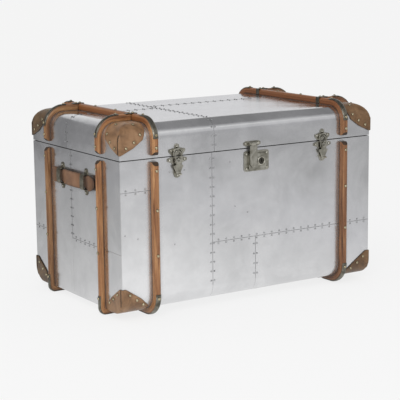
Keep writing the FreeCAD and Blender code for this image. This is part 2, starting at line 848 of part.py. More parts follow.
def latch_lever(x):
    """Lever with a turned-out lip; its head is forked over the lug and bored for the loop."""
    near = lever_axis[0] - lever_thickness / 2
    far = lever_axis[0] + lever_thickness / 2
    head_near, head_far = lever_axis[0] - lever_head_half, lever_axis[0] + lever_head_half
    head_top = lever_axis[1] + lever_head_half
    head_foot = loop_axis[1] - lever_head_half
    head_cut = lever_head_half - swing_clearance
    tip = lever_axis[1] - lever_length
    bend = tip + lever_lip
    side = [
        (head_near, head_top - head_cut), (head_near + head_cut, head_top), (head_far - head_cut, head_top),
        (head_far, head_top - head_cut), (head_far, loop_axis[1]), (far, head_foot), (far, bend),
        (far + lever_lip, tip),
        (far + lever_lip - lever_thickness, tip - lever_thickness / 2), (near, bend - lever_thickness / 2),
        (near, head_foot), (head_near, loop_axis[1]),
    ]
    half_face = [
        (lever_half_width, head_top), (lever_half_width, head_foot),
        (lever_tip_half_width, tip - lever_thickness),
    ]
    span = (x - lever_half_width, x + lever_half_width)
    lever = side_prism(*span, side).common(front_prism(0, far + lever_length, both_sides(x, half_face)))
    fork = lug_half_width + swing_clearance
    fork_z = (lever_axis[1] - lug_half_height * math.sqrt(2) - swing_clearance, head_top)
    lever = lever.cut(front_block((x - fork, x + fork), 0, head_far, fork_z))
    lever = lever.cut(side_rod(*span, lever_axis, lever_pin_radius + running_clearance, True))
    return lever.cut(side_rod(*span, loop_axis, loop_wire_radius + running_clearance, True))


def latch_loop(x):
    """Closed wire loop through the lever's head, whose top bar comes before the keeper's nose."""
    foot, top = rim + loop_axis[1], rim + loop_top
    half = [(loop_half_width, foot), (loop_half_width, top - loop_corner), (loop_half_width - loop_corner, top)]
    route = [(x - u, v) for u, v in half] + [(x + u, v) for u, v in reversed(half)]
    path = Part.Wire(path_edges("y", out(loop_axis[0]), route))
    corners = [V(*p, foot) for p in ring((x - loop_half_width, out(loop_axis[0])), loop_wire_radius)]
    wire = Part.makePolygon([*corners, corners[0]])
    return path.makePipeShell([wire], True, False, 1)


def latch_parts():
    spots = {"left": -latch_x, "right": latch_x}
    parts = {
        "latch_keepers": group([latch_keeper(x) for x in spots.values()]),
        "latch_base_plates": group([latch_base(x) for x in spots.values()]),
    }
    for side, x in spots.items():
        parts[side + "_latch_lever"] = latch_lever(x)
        parts[side + "_latch_loop"] = latch_loop(x)
    return parts


def hasp_rivet_spots():
    return mirrored((hasp_rivet_x, hasp_axis[1]))


def lock_rivet_spots():
    x = lock_half_width - lock_rivet_inset
    heights = (lock_heights[0] + lock_rivet_inset, lock_heights[1] - lock_rivet_inset)
    return [(lock_middle_x + u, v) for u in (-x, x) for v in heights]


def lock_plate():
    """Flanged plate with a raised case for the bolt and the key's plug, open at the top for the staple."""
    def frame(inset_x, inset_z, turn):
        low_x = lock_middle_x - lock_half_width + inset_x
        high_x = lock_middle_x + lock_half_width - inset_x
        low, high = lock_heights[0] + inset_z, lock_heights[1] - inset_z
        return [(low_x, low, turn), (high_x, low, turn), (high_x, high, turn), (low_x, high, turn)]

    far = plate_thickness + case_depth
    hollow = frame(case_inset_x + case_wall, case_inset_z + case_wall, 0)
    plate = union([
        front_prism(0, plate_thickness, frame(0, 0, lock_corner_round)),
        front_prism(0, far, frame(case_inset_x, case_inset_z, 0)),
        front_rod(plate_thickness, far + escutcheon_height, key_middle, escutcheon_radius),
    ])
    plate = plate.cut(front_prism(plate_thickness, far - case_wall, hollow))
    bore = plug_radius + running_clearance
    plate = plate.cut(front_rod(far - case_wall, far + reach, key_middle, bore, True))
    slot = staple_half_width + staple_slot_side
    slot_foot = bolt_height - staple_half_height - staple_slot_foot
    return plate.cut(front_block((-slot, slot), plate_thickness, far, (slot_foot, 0)))


def key_plug():
    """Plug with its keyhole, and the pin that drives the bolt."""
    back = plate_thickness + bolt_thickness + 2 * part_gap
    face = plate_thickness + case_depth + plug_stand
    lean = drive_radius * math.sqrt(0.5)
    drive = (key_middle[0] + lean, key_middle[1] + lean)
    plug = union([
        front_rod(back, face, key_middle, plug_radius),
        front_rod(plate_thickness + part_gap, back, drive, drive_pin_radius),
    ])
    keyhole = front_block(
        (key_middle[0] - keyhole_width / 2, key_middle[0] + keyhole_width / 2),
        face - keyhole_depth, face,
        (key_middle[1] - keyhole_height / 2, key_middle[1] + keyhole_height / 2),
    )
    return plug.cut(keyhole)


def lock_bolt():
    """Bolt that slides through the hasp's staple, driven by the plug's pin in an upright slot."""
    tail_near = plate_thickness + part_gap
    tail_far = tail_near + bolt_thickness
    head_near = tail_far + part_gap
    head = (bolt_height - bolt_half_height, bolt_height + bolt_half_height)
    lean = drive_radius * math.sqrt(0.5)
    slot_x = key_middle[0] + lean
    slot_half = drive_pin_radius + drive_play
    slot_z = (key_middle[1] + lean - slot_half, key_middle[1] + drive_radius + slot_half)
    bolt = union([
        front_block(bolt_head_x, head_near, head_near + bolt_thickness, head),
        front_block((bolt_tail_x[0], bolt_head_x[1]), tail_near, head_near + bolt_thickness, head),
        front_block(
            bolt_tail_x, tail_near, tail_far,
            (bolt_height - bolt_tail_half_height, bolt_height + bolt_tail_half_height)),
    ])
    return bolt.cut(front_block((slot_x - slot_half, slot_x + slot_half), 0, tail_far, slot_z))


def hasp_plate():
    """Plate on the lid with two lobes, the outer knuckles of the hasp's hinge and their staked pin."""
    inner = hasp_neck_half_width + knuckle_gap
    low, high = hasp_axis[1] - hasp_plate_half_height, hasp_axis[1] + hasp_plate_half_height
    end = hasp_rivet_x + lobe_radius
    solids = [front_prism(0, plate_thickness, both_sides(0, [
        (hasp_rivet_x, low), (end, low + lobe_radius / 2), (end, high - lobe_radius / 2), (hasp_rivet_x, high),
    ]))]
    for span in ((-inner - hasp_knuckle_length, -inner), (inner, inner + hasp_knuckle_length)):
        knuckle_z = (hasp_axis[1] - hasp_barrel_radius, hasp_axis[1] + hasp_barrel_radius)
        solids.append(side_rod(*span, hasp_axis, hasp_barrel_radius))
        solids.append(front_block(span, 0, hasp_axis[0], knuckle_z))
    solids.append(side_rod(-inner, inner, hasp_axis, hasp_pin_radius))
    return union(solids)


def hasp():
    """Hinged tongue over the lock's case, with the staple on its back that the bolt goes through."""
    near = plate_thickness + case_depth + hasp_gap
    far = near + hasp_thickness
    shoulder = hasp_axis[1] - hasp_barrel_radius - swing_clearance
    face = [
        (-hasp_neck_half_width, hasp_axis[1]), (hasp_neck_half_width, hasp_axis[1]),
        (hasp_neck_half_width, shoulder), (hasp_half_width, shoulder - swing_clearance),
        (hasp_half_width, hasp_foot, hasp_thickness),
        (-hasp_half_width + hasp_chamfer, hasp_foot), (-hasp_half_width, hasp_foot + hasp_chamfer),
        (-hasp_half_width, shoulder - swing_clearance), (-hasp_neck_half_width, shoulder),
    ]
    bolt_near = plate_thickness + bolt_thickness + 2 * part_gap
    eye_far = bolt_near + bolt_thickness + 2 * part_gap
    eye = (bolt_height - staple_eye_half_height, bolt_height + staple_eye_half_height)
    staple_z = (bolt_height - staple_half_height, bolt_height + staple_half_height)
    span = (-staple_half_width, staple_half_width)
    staple = front_block(span, plate_thickness + 2 * part_gap, near, staple_z)
    staple = staple.cut(front_block(span, bolt_near - 2 * part_gap, eye_far, eye))
    tongue = union([
        front_prism(near, far, face),
        side_rod(-hasp_neck_half_width, hasp_neck_half_width, hasp_axis, hasp_barrel_radius),
        staple,
    ])
    bore = hasp_pin_radius + running_clearance
    return tongue.cut(side_rod(-hasp_half_width, hasp_half_width, hasp_axis, bore, True))


def lock_parts():
    return {
        "lock_plate": lock_plate(),
        "key_plug": key_plug(),
        "lock_bolt": lock_bolt(),
        "hasp_plate": hasp_plate(),
        "hasp": hasp(),
    }


# Strap handles: heights from the handle's middle, out is the distance from the left end

def off_end(distance):
    return -half_length - distance


def handle_bracket(y):
    """Bridge over the strap with a riveted foot above and below."""
    half = bracket_inner_half + bracket_thickness
    height = bracket_inner_height + bracket_thickness
    foot = bracket_rivet_z + bracket_foot_half_width

    def section(corners):
        outline = [(off_end(c[0]), handle_middle + c[1], *c[2:]) for c in corners]
        return prism("y", y - reach, y + reach, outline)

    bridge = section([(0, -half), (height, -half, bracket_round), (height, half, bracket_round), (0, half)])
    tunnel = section([
        (-height, -bracket_inner_half), (bracket_inner_height, -bracket_inner_half),
        (bracket_inner_height, bracket_inner_half), (-height, bracket_inner_half),
    ])
    feet = section([(0, -foot), (bracket_thickness, -foot), (bracket_thickness, foot), (0, foot)])
    quarter = [
        (bracket_half_width, half), (bracket_foot_half_width, foot - bracket_foot_half_width / 2),
        (bracket_foot_half_width / 2, foot),
    ]
    upper = quarter + [(-u, v) for u, v in reversed(quarter)]
    side = [(y + u, v) for u, v in upper] + [(y + u, -v) for u, v in reversed(upper)]
    face = prism("x", off_end(0), off_end(height), [(u, handle_middle + v) for u, v in side])
    return union([bridge, feet]).cut(tunnel).common(face).Solids[0]


def handle_strap():
    """Leather strap, necked under its brackets, bowed between them, with ends too wide to pull through."""
    neck_near = bracket_y - bracket_half_width - neck_play
    neck_far = bracket_y + bracket_half_width + neck_play
    step = handle_half_width - neck_half_width
    low = handle_middle - handle_half_width

    def spot(distance, y):
        return V(off_end(handle_seat_gap + distance), y, low)

    def bowed(distance):
        arc = Part.Arc(spot(distance, -neck_near), spot(distance + handle_bow, 0), spot(distance, neck_near))
        ends = [(y, math.copysign(handle_half_length, y)) for y in (-neck_near, neck_near)]
        runs = [Part.LineSegment(spot(distance, a), spot(distance, b)).toShape() for a, b in ends]
        return [runs[0], arc.toShape(), runs[1]]

    sides = [
        Part.LineSegment(spot(0, y), spot(handle_thickness, y)).toShape()
        for y in (-handle_half_length, handle_half_length)
    ]
    band = Part.Face(Part.Wire(Part.sortEdges(bowed(0) + bowed(handle_thickness) + sides)[0]))
    upper = [
        (handle_half_length, handle_half_width - handle_end_cut),
        (handle_half_length - handle_end_cut, handle_half_width),
        (neck_far + step, handle_half_width), (neck_far, neck_half_width),
        (neck_near, neck_half_width), (neck_near - step, grip_half_width),
    ]
    quarter = upper + [(-u, v) for u, v in reversed(upper)]
    side = quarter + [(u, -v) for u, v in reversed(quarter)]
    band_solid = band.extrude(V(0, 0, 2 * handle_half_width))
    return band_solid.common(prism("x", off_end(0), off_end(reach), [(u, handle_middle + v) for u, v in side]))


def handle_rivets():
    spots = [(y, z) for y in (-bracket_y, bracket_y) for z in (-bracket_rivet_z, bracket_rivet_z)]
    points = [V(off_end(bracket_thickness), y, handle_middle + z) for y, z in spots]
    left = [stud(point, V(-1, 0, 0), rivet_radius) for point in points]
    return left + [flip_x(s) for s in left]


def handle_parts():
    strap = handle_strap()
    brackets = [handle_bracket(-bracket_y), handle_bracket(bracket_y)]
    return {
        "left_handle_strap": strap,
        "right_handle_strap": flip_x(strap),
        "handle_brackets": group(brackets + [flip_x(b) for b in brackets]),
    }


# Rivets of the fittings

def rivet_parts():
    latches = (-latch_x, latch_x)
    hinges = (-hinge_x, hinge_x)
    lid_spots = [s for x in latches for s in keeper_rivet_spots(x)] + hasp_rivet_spots()
    body_spots = [s for x in latches for s in base_rivet_spots(x)] + lock_rivet_spots()
    lid_rivets = [front_rivet(*s) for s in lid_spots] + [r for x in hinges for r in hinge_rivets(x, 1)]
    body_rivets = [front_rivet(*s) for s in body_spots] + [r for x in hinges for r in hinge_rivets(x, -1)]
    return {
        "lid_fitting_rivets": group(lid_rivets),
        "body_fitting_rivets": group(body_rivets + handle_rivets()),
    }


makers = [
    carcass_parts, lid_carcass_parts, sheet_parts, batten_parts, strap_parts, leather_parts, stud_parts,
    hinge_parts, latch_parts, lock_parts, handle_parts, rivet_parts,
]
os.makedirs("parts", exist_ok=True)
for make in makers:
    for node, shape in make().items():
        shape.exportStep(os.path.join("parts", node + ".step"))
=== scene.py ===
import json
import math
import bpy
import numpy as np
from mathutils import Matrix, Vector
from mathutils.bvhtree import BVHTree

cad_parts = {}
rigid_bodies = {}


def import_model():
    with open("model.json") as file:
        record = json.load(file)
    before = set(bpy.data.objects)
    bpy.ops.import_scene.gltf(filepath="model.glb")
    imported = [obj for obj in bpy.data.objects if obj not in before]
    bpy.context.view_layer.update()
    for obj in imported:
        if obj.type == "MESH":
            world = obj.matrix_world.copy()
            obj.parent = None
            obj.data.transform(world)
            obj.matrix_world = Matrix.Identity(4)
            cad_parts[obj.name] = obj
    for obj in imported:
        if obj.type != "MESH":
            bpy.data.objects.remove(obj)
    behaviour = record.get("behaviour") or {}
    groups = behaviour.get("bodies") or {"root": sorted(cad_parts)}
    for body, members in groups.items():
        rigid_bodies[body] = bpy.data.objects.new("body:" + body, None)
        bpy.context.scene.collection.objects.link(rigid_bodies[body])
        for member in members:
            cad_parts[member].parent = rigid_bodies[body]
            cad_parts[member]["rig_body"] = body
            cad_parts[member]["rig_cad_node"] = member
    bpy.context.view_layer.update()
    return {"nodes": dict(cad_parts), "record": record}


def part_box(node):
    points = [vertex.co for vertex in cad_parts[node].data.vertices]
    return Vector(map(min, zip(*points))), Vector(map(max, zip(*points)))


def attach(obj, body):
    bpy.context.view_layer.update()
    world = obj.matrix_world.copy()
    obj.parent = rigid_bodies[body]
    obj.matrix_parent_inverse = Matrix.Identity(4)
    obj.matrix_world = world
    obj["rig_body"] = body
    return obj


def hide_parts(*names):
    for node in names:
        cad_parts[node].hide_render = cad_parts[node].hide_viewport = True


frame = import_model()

nodes = frame["nodes"]
slot_of = {part["node"]: part["material_slot"] for part in frame["record"]["subparts"]}

# Sizes of the box in metres, from its sheets
lid_low, lid_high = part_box("lid_sheets")
wall_low, wall_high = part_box("body_front_sheets")
HALF_LENGTH, HALF_DEPTH = lid_high.x, lid_high.y
LID_LOW, LID_TOP = lid_low.z, lid_high.z
BOX_BOTTOM, BODY_HIGH = wall_low.z, wall_high.z
RIM = (LID_LOW + BODY_HIGH) / 2
ROLL = HALF_DEPTH + wall_high.y
LID_TURN, BODY_TURN = LID_TOP - ROLL, BOX_BOTTOM + ROLL

# Sizes of the battens, and the height of the handles
hoop_low, hoop_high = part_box("lid_hoop_left")
end_low, end_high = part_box("lid_end_batten_left_front")
strap_low, strap_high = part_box("left_handle_strap")
HOOP_X, BATTEN = -(hoop_low.x + hoop_high.x) / 2, hoop_high.x - hoop_low.x
END_BATTEN_Y, END_BATTEN_WIDTH = -(end_low.y + end_high.y) / 2, end_high.y - end_low.y
END_THINNER = BATTEN + HALF_LENGTH + end_low.x
LID_TIP, BODY_TIP = hoop_low.z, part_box("body_hoop_left")[1].z
TIP_BEVEL, BATTEN_ROUND = 0.010, 0.0075
HANDLE_Z = (strap_low.z + strap_high.z) / 2
# A hair's breadth, for telling places apart
HAIR = 0.0001


# Modelling helpers

def only(piece):
    bpy.ops.object.select_all(action="DESELECT")
    piece.select_set(True)
    bpy.context.view_layer.objects.active = piece


def edit(piece):
    only(piece)
    bpy.ops.object.mode_set(mode="EDIT")
    bpy.ops.mesh.select_all(action="SELECT")


def done():
    bpy.ops.object.mode_set(mode="OBJECT")


def pick(piece, kind, test):
    """Selects the vertices, edges or faces that pass a test, and stays in edit mode."""
    only(piece)
    mesh = piece.data
    for items in (mesh.vertices, mesh.edges, mesh.polygons):
        items.foreach_set("select", [False] * len(items))
    items = {"VERT": mesh.vertices, "EDGE": mesh.edges, "FACE": mesh.polygons}[kind]
    items.foreach_set("select", [bool(test(i)) for i in items])
    bpy.context.tool_settings.mesh_select_mode = (kind == "VERT", kind == "EDGE", kind == "FACE")
    bpy.ops.object.mode_set(mode="EDIT")


def modify(piece, kind, **settings):
    modifier = piece.modifiers.new(kind.lower(), kind)
    for name, value in settings.items():
        setattr(modifier, name, value)
    only(piece)
    bpy.ops.object.modifier_apply(modifier=modifier.name)


def outward(piece):
    edit(piece)
    bpy.ops.mesh.remove_doubles(threshold=1e-6)
    bpy.ops.mesh.normals_make_consistent(inside=False)
    done()


def smooth(piece, angle=35):
    only(piece)
    bpy.ops.object.shade_smooth_by_angle(angle=math.radians(angle))


def copy_of(piece, name, matrix=None):
    twin = piece.copy()
    twin.data = piece.data.copy()
    twin.name = name
    bpy.context.collection.objects.link(twin)
    if matrix is not None:
        twin.data.transform(matrix)
        if matrix.determinant() < 0:
            twin.data.flip_normals()
    return twin


def join(pieces, name):
    bpy.ops.object.select_all(action="DESELECT")
    for piece in pieces:
        piece.select_set(True)
    bpy.context.view_layer.objects.active = pieces[0]
    if len(pieces) > 1:
        bpy.ops.object.join()
    pieces[0].name = name
    return pieces[0]


def strip_from(middle, turn, half, spare, moves):
    """Strip drawn from one edge of a plane; each move has a way, a change of width and its centre."""
    bpy.ops.object.select_all(action="DESELECT")
    bpy.ops.mesh.primitive_plane_add(size=2 * half, location=middle, rotation=turn)
    strip = bpy.context.object
    bpy.ops.object.transform_apply(location=True, rotation=True, scale=True)
    pick(strip, "VERT", spare)
    bpy.ops.mesh.delete(type="VERT")
    bpy.ops.mesh.select_all(action="SELECT")
    for way, widening, centre in moves:
        bpy.ops.mesh.extrude_edges_move(TRANSFORM_OT_translate={"value": way})
        bpy.ops.transform.resize(value=widening, center_override=centre)
    done()
    return strip


def thicken(strip, thickness, offset, edge):
    """Gives a strip its thickness and rounds it all over."""
    modify(strip, "SOLIDIFY", thickness=thickness, offset=offset)
    modify(strip, "BEVEL", width=edge, segments=2, limit_method="ANGLE", angle_limit=math.radians(50))
    modify(strip, "SUBSURF", levels=2, render_levels=2)
    outward(strip)


def fit(piece, body, slot, *stood_for):
    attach(piece, body)
    if stood_for:
        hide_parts(*stood_for)
    return piece


FLIP_X = Matrix.Diagonal((-1, 1, 1, 1))
FLIP_Y = Matrix.Diagonal((1, -1, 1, 1))
SIDES = {
    "left_front": Matrix.Identity(4), "left_back": FLIP_Y,
    "right_front": FLIP_X, "right_back": FLIP_X @ FLIP_Y,
}


# Material helpers

def recipe(name):
    material = bpy.data.materials.new(name)
    material.use_nodes = True
    return material, material.node_tree, material.node_tree.nodes["Principled BSDF"]


def add(tree, kind, sockets=None, **settings):
    made = tree.nodes.new("ShaderNode" + kind)
    for name, value in settings.items():
        setattr(made, name, value)
    for name, value in (sockets or {}).items():
        if isinstance(value, bpy.types.NodeSocket):
            tree.links.new(value, made.inputs[name])
        else:
            made.inputs[name].default_value = value
    return made


def stretched(tree, place, scale, shift=(0, 0, 0)):
    return add(tree, "Mapping", {"Vector": place, "Scale": scale, "Location": shift}).outputs[0]


def noise(tree, place, scale, detail=4.0, rough=0.55, twist=0.0):
    sockets = {"Vector": place, "Scale": scale, "Detail": detail, "Roughness": rough, "Distortion": twist}
    return add(tree, "TexNoise", sockets).outputs[0]


def ramp(tree, factor, stops):
    made = add(tree, "ValToRGB", {"Fac": factor})
    band = made.color_ramp
    while len(band.elements) < len(stops):
        band.elements.new(0.5)
    for element, (spot, shade) in zip(band.elements, stops):
        element.position = spot
        element.color = (*shade, 1) if isinstance(shade, tuple) else (shade, shade, shade, 1)
    return made.outputs[0]


def mix(tree, factor, first, second, blend="MIX"):
    made = add(tree, "Mix", {0: factor}, data_type="RGBA", blend_type=blend)
    for index, value in ((6, first), (7, second)):
        if isinstance(value, bpy.types.NodeSocket):
            tree.links.new(value, made.inputs[index])
        else:
            made.inputs[index].default_value = (*value, 1)
    return made.outputs[2]


def spread(tree, value, low, high, start=0.0, end=1.0):
    sockets = {"Value": value, "From Min": start, "From Max": end, "To Min": low, "To Max": high}
    return add(tree, "MapRange", sockets).outputs[0]


def maths(tree, operation, first, second=0.0):
    return add(tree, "Math", {0: first, 1: second}, operation=operation).outputs[0]


def bump(tree, height, distance, strength=1.0, under=None):
    sockets = {"Height": height, "Distance": distance, "Strength": strength}
    if under is not None:
        sockets["Normal"] = under
    return add(tree, "Bump", sockets).outputs[0]


def paint_corner_shade(tree, shade, painted_shade_colour, reach, strength):
    """Darkens a colour in corners and crevices by ambient occlusion: painted shade."""
    made = add(tree, "AmbientOcclusion", {"Distance": reach}, samples=8)
    hidden = spread(tree, made.outputs["AO"], strength, 0.0, 0.35, 0.95)
    return mix(tree, hidden, shade, painted_shade_colour)


def tinted(tree, shade, along, low, high, tint):
    """Multiplies a colour by a tint beyond a place on one axis."""
    beyond = spread(tree, along, 0.0, 1.0, low, high)
    return mix(tree, beyond, shade, mix(tree, 1.0, shade, tint, "MULTIPLY"))


def finish_shader(tree, shader, colour, roughness, normal, metallic=0.0):
    tree.links.new(colour, shader.inputs["Base Color"])
    tree.links.new(roughness, shader.inputs["Roughness"])
    tree.links.new(normal, shader.inputs["Normal"])
    shader.inputs["Metallic"].default_value = metallic


# Materials

def aluminium_material():
    material, tree, shader = recipe("aluminium sheet")
    place = add(tree, "TexCoord").outputs["Object"]
    haze = noise(tree, place, 5.0, 6.0, 0.62, 0.6)
    cloud = noise(tree, place, 17.0, 5.0, 0.6)
    brush = noise(tree, stretched(tree, place, (9, 9, 260)), 1.0, 3.0)
    wipe = noise(tree, stretched(tree, place, (14, 14, 2.6)), 1.0, 4.0, 0.6, 0.3)
    # Nearness of other parts, by ambient occlusion: painted shade on the sheet beside battens and fittings,
    # and a duller sheen there
    beside = add(tree, "AmbientOcclusion", {"Distance": 0.022}, samples=8).outputs["AO"]
    near_other_parts = spread(tree, beside, 1.0, 0.0, 0.45, 0.95)
    tone = ramp(tree, haze, [
        (0.36, (0.69, 0.692, 0.70)), (0.5, (0.785, 0.787, 0.796)), (0.64, (0.865, 0.867, 0.875)),
    ])
    tone = mix(tree, spread(tree, cloud, 0.0, 0.55, 0.45, 0.75), tone, (0.70, 0.702, 0.71))
    tone = mix(tree, spread(tree, wipe, 0.0, 0.32, 0.54, 0.72), tone, (0.90, 0.90, 0.905))
    tone = mix(tree, maths(tree, "MULTIPLY", near_other_parts, 0.45), tone, (0.36, 0.355, 0.35))
    rough = spread(tree, haze, 0.13, 0.25, 0.38, 0.62)
    rough = maths(tree, "ADD", rough, spread(tree, brush, -0.012, 0.012))
    rough = maths(tree, "ADD", rough, maths(tree, "MULTIPLY", near_other_parts, 0.30))
    waves = noise(tree, place, 6.5, 2.0, 0.4)
    dents = noise(tree, place, 15.0, 1.0, 0.4)
    normal = bump(tree, waves, 0.006, 0.5)
    normal = bump(tree, dents, 0.0012, 0.35, normal)
    finish_shader(tree, shader, tone, rough, normal, 1.0)
    return material


def on_hoop(tree, x):
    """One within the width of a hoop, and nothing beside it."""
    off = maths(tree, "ABSOLUTE", maths(tree, "SUBTRACT", maths(tree, "ABSOLUTE", x), HOOP_X))
    return spread(tree, off, 1.0, 0.0, BATTEN / 2 + HAIR, BATTEN / 2 + 4 * HAIR)


def oak_material():
    material, tree, shader = recipe("oak batten")
    grain = add(tree, "Attribute", attribute_name="grain").outputs["Vector"]
    place = add(tree, "TexCoord").outputs["Object"]
    drift = noise(tree, stretched(tree, grain, (9, 0.7, 0.7)), 1.0, 3.0)
    lines = noise(tree, stretched(tree, grain, (6, 1.9, 1.9)), 1.0, 6.0, 0.68, 0.5)
    fine = noise(tree, stretched(tree, grain, (34, 21, 21)), 1.0, 4.0, 0.7)
    shade = ramp(tree, lines, [
        (0.31, (0.060, 0.023, 0.008)), (0.43, (0.245, 0.100, 0.036)),
        (0.55, (0.42, 0.200, 0.080)), (0.70, (0.64, 0.36, 0.165)),
    ])
    shade = mix(tree, spread(tree, fine, 0.0, 0.6, 0.52, 0.78), shade, (0.15, 0.062, 0.024))
    shade = mix(tree, spread(tree, drift, 0.0, 0.35, 0.5, 0.75), shade, (0.34, 0.135, 0.055))
    x, y, z = add(tree, "SeparateXYZ", {0: place}).outputs
    over_lid_top = spread(tree, z, 0.0, 1.0, LID_TOP - 0.012, LID_TOP + 0.004)
    on_top = maths(tree, "MULTIPLY", over_lid_top, on_hoop(tree, x))
    # Painted shade: the hoops' top runs darker and redder, and the battens at the right and back darker,
    # where less light falls
    painted_shade_on_top = mix(tree, 0.9, shade, (0.60, 0.46, 0.38), "MULTIPLY")
    shade = tinted(tree, shade, x, 0.1, 0.3, (0.72, 0.70, 0.72))
    shade = tinted(tree, shade, y, -0.1, 0.15, (0.70, 0.74, 0.78))
    shade = mix(tree, on_top, shade, painted_shade_on_top)
    across, depth = add(tree, "SeparateXYZ", {0: grain}).outputs[1:]
    edge = maths(tree, "MULTIPLY", maths(tree, "ABSOLUTE", across), depth)
    scuff = noise(tree, place, 45.0, 4.0, 0.6)
    worn = ramp(tree, edge, [(0.62, 0.0), (0.72, 1.0)])
    worn = maths(tree, "MULTIPLY", worn, spread(tree, scuff, -0.1, 0.22, 0.4, 0.7))
    # Outer edges darker where rubbed (wear), and painted shade along the batten's foot beside the sheet
    foot = maths(tree, "MULTIPLY", ramp(tree, depth, [(0.0, 1.0), (0.16, 0.0)]), 0.7)
    shade = mix(tree, maths(tree, "MAXIMUM", worn, foot), shade, (0.07, 0.032, 0.016))
    # Painted shade in corners and crevices, by ambient occlusion
    shade = paint_corner_shade(tree, shade, (0.03, 0.015, 0.008), 0.006, 0.8)
    rough = spread(tree, fine, 0.24, 0.40, 0.3, 0.7)
    normal = bump(tree, fine, 0.0004, 0.35)
    finish_shader(tree, shader, shade, rough, normal)
    return material


def oak_end_material():
    material, tree, shader = recipe("oak batten end")
    place = add(tree, "TexCoord").outputs["Object"]
    grit = noise(tree, place, 160.0, 5.0, 0.7)
    shade = ramp(tree, grit, [(0.3, (0.022, 0.014, 0.009)), (0.7, (0.085, 0.044, 0.02))])
    finish_shader(tree, shader, shade, spread(tree, grit, 0.5, 0.75), bump(tree, grit, 0.0005, 0.4))
    return material


def leather_material(name, dark, mid, pale, rough_low):
    material, tree, shader = recipe(name)
    place = add(tree, "TexCoord").outputs["Object"]
    patch = noise(tree, place, 26.0, 5.0, 0.6, 0.4)
    grain = add(tree, "TexVoronoi", {"Vector": place, "Scale": 900.0}).outputs["Distance"]
    pore = noise(tree, place, 420.0, 3.0, 0.6)
    shade = ramp(tree, patch, [(0.25, dark), (0.5, mid), (0.75, pale)])
    shade = mix(tree, spread(tree, pore, 0.0, 0.4, 0.5, 0.8), shade, dark)
    x, y = add(tree, "SeparateXYZ", {0: place}).outputs[:2]
    # Painted shade: the leather at the right and at the back darker, where less light falls
    shade = tinted(tree, shade, x, 0.2, 0.3, (0.62, 0.60, 0.52))
    shade = tinted(tree, shade, y, 0.18, 0.2, (0.44, 0.46, 0.40))
    # Painted shade in corners and round the tacks, by ambient occlusion
    shade = paint_corner_shade(tree, shade, tuple(0.18 * c for c in dark), 0.007, 0.9)
    # Darker along the fold and the rim: painted shade in the fold's crease and where the leather meets the
    # sheet; on the handle straps, their worn edges, tips and tabs
    fold = add(tree, "Attribute", attribute_name="fold").outputs["Fac"]
    shade = mix(tree, spread(tree, fold, 0.0, 0.92, 0.05, 0.7), shade, tuple(0.16 * c for c in dark))
    rough = spread(tree, patch, rough_low, rough_low + 0.16, 0.3, 0.7)
    normal = bump(tree, grain, 0.0003, 0.4)
    normal = bump(tree, patch, 0.0012, 0.35, normal)
    finish_shader(tree, shader, shade, rough, normal)
    return material


def worn_metal(name, dark, mid, pale, roughness, scale=55.0, corner_shade_strength=0.9):
    material, tree, shader = recipe(name)
    place = add(tree, "TexCoord").outputs["Object"]
    stain = noise(tree, place, scale, 6.0, 0.65, 0.5)
    grit = noise(tree, place, scale * 9, 3.0, 0.6)
    shade = ramp(tree, stain, [(0.3, dark), (0.5, mid), (0.72, pale)])
    # Painted shade in corners and round rivets, by ambient occlusion
    shade = paint_corner_shade(tree, shade, tuple(0.25 * c for c in dark), 0.005, corner_shade_strength)
    rough = spread(tree, stain, roughness + 0.14, roughness - 0.06, 0.3, 0.7)
    normal = bump(tree, grit, 0.00018, 0.4)
    normal = bump(tree, stain, 0.0006, 0.25, normal)
    finish_shader(tree, shader, shade, rough, normal, 1.0)
    return material


def plywood_material():
    material, tree, shader = recipe("plywood")
    place = add(tree, "TexCoord").outputs["Object"]
    figure = noise(tree, stretched(tree, place, (3, 22, 22)), 1.0, 5.0, 0.6, 1.2)
    pore = noise(tree, stretched(tree, place, (40, 420, 420)), 1.0, 3.0, 0.6)
    shade = ramp(tree, figure, [
        (0.3, (0.36, 0.235, 0.125)), (0.55, (0.50, 0.35, 0.205)), (0.75, (0.58, 0.43, 0.27)),
    ])
    shade = mix(tree, spread(tree, pore, 0.0, 0.45, 0.5, 0.8), shade, (0.27, 0.165, 0.085))
    # Painted shade: the plywood at the rim is near black, so the gap between lid and body reads dark
    height = add(tree, "SeparateXYZ", {0: place}).outputs[2]
    off_rim = maths(tree, "ABSOLUTE", maths(tree, "SUBTRACT", height, RIM))
    rim_gap_shade = maths(tree, "LESS_THAN", off_rim, 0.0022)
    shade = mix(tree, rim_gap_shade, shade, (0.018, 0.016, 0.015))
    finish_shader(tree, shader, shade, spread(tree, pore, 0.5, 0.68), bump(tree, pore, 0.0003, 0.3))
    return material


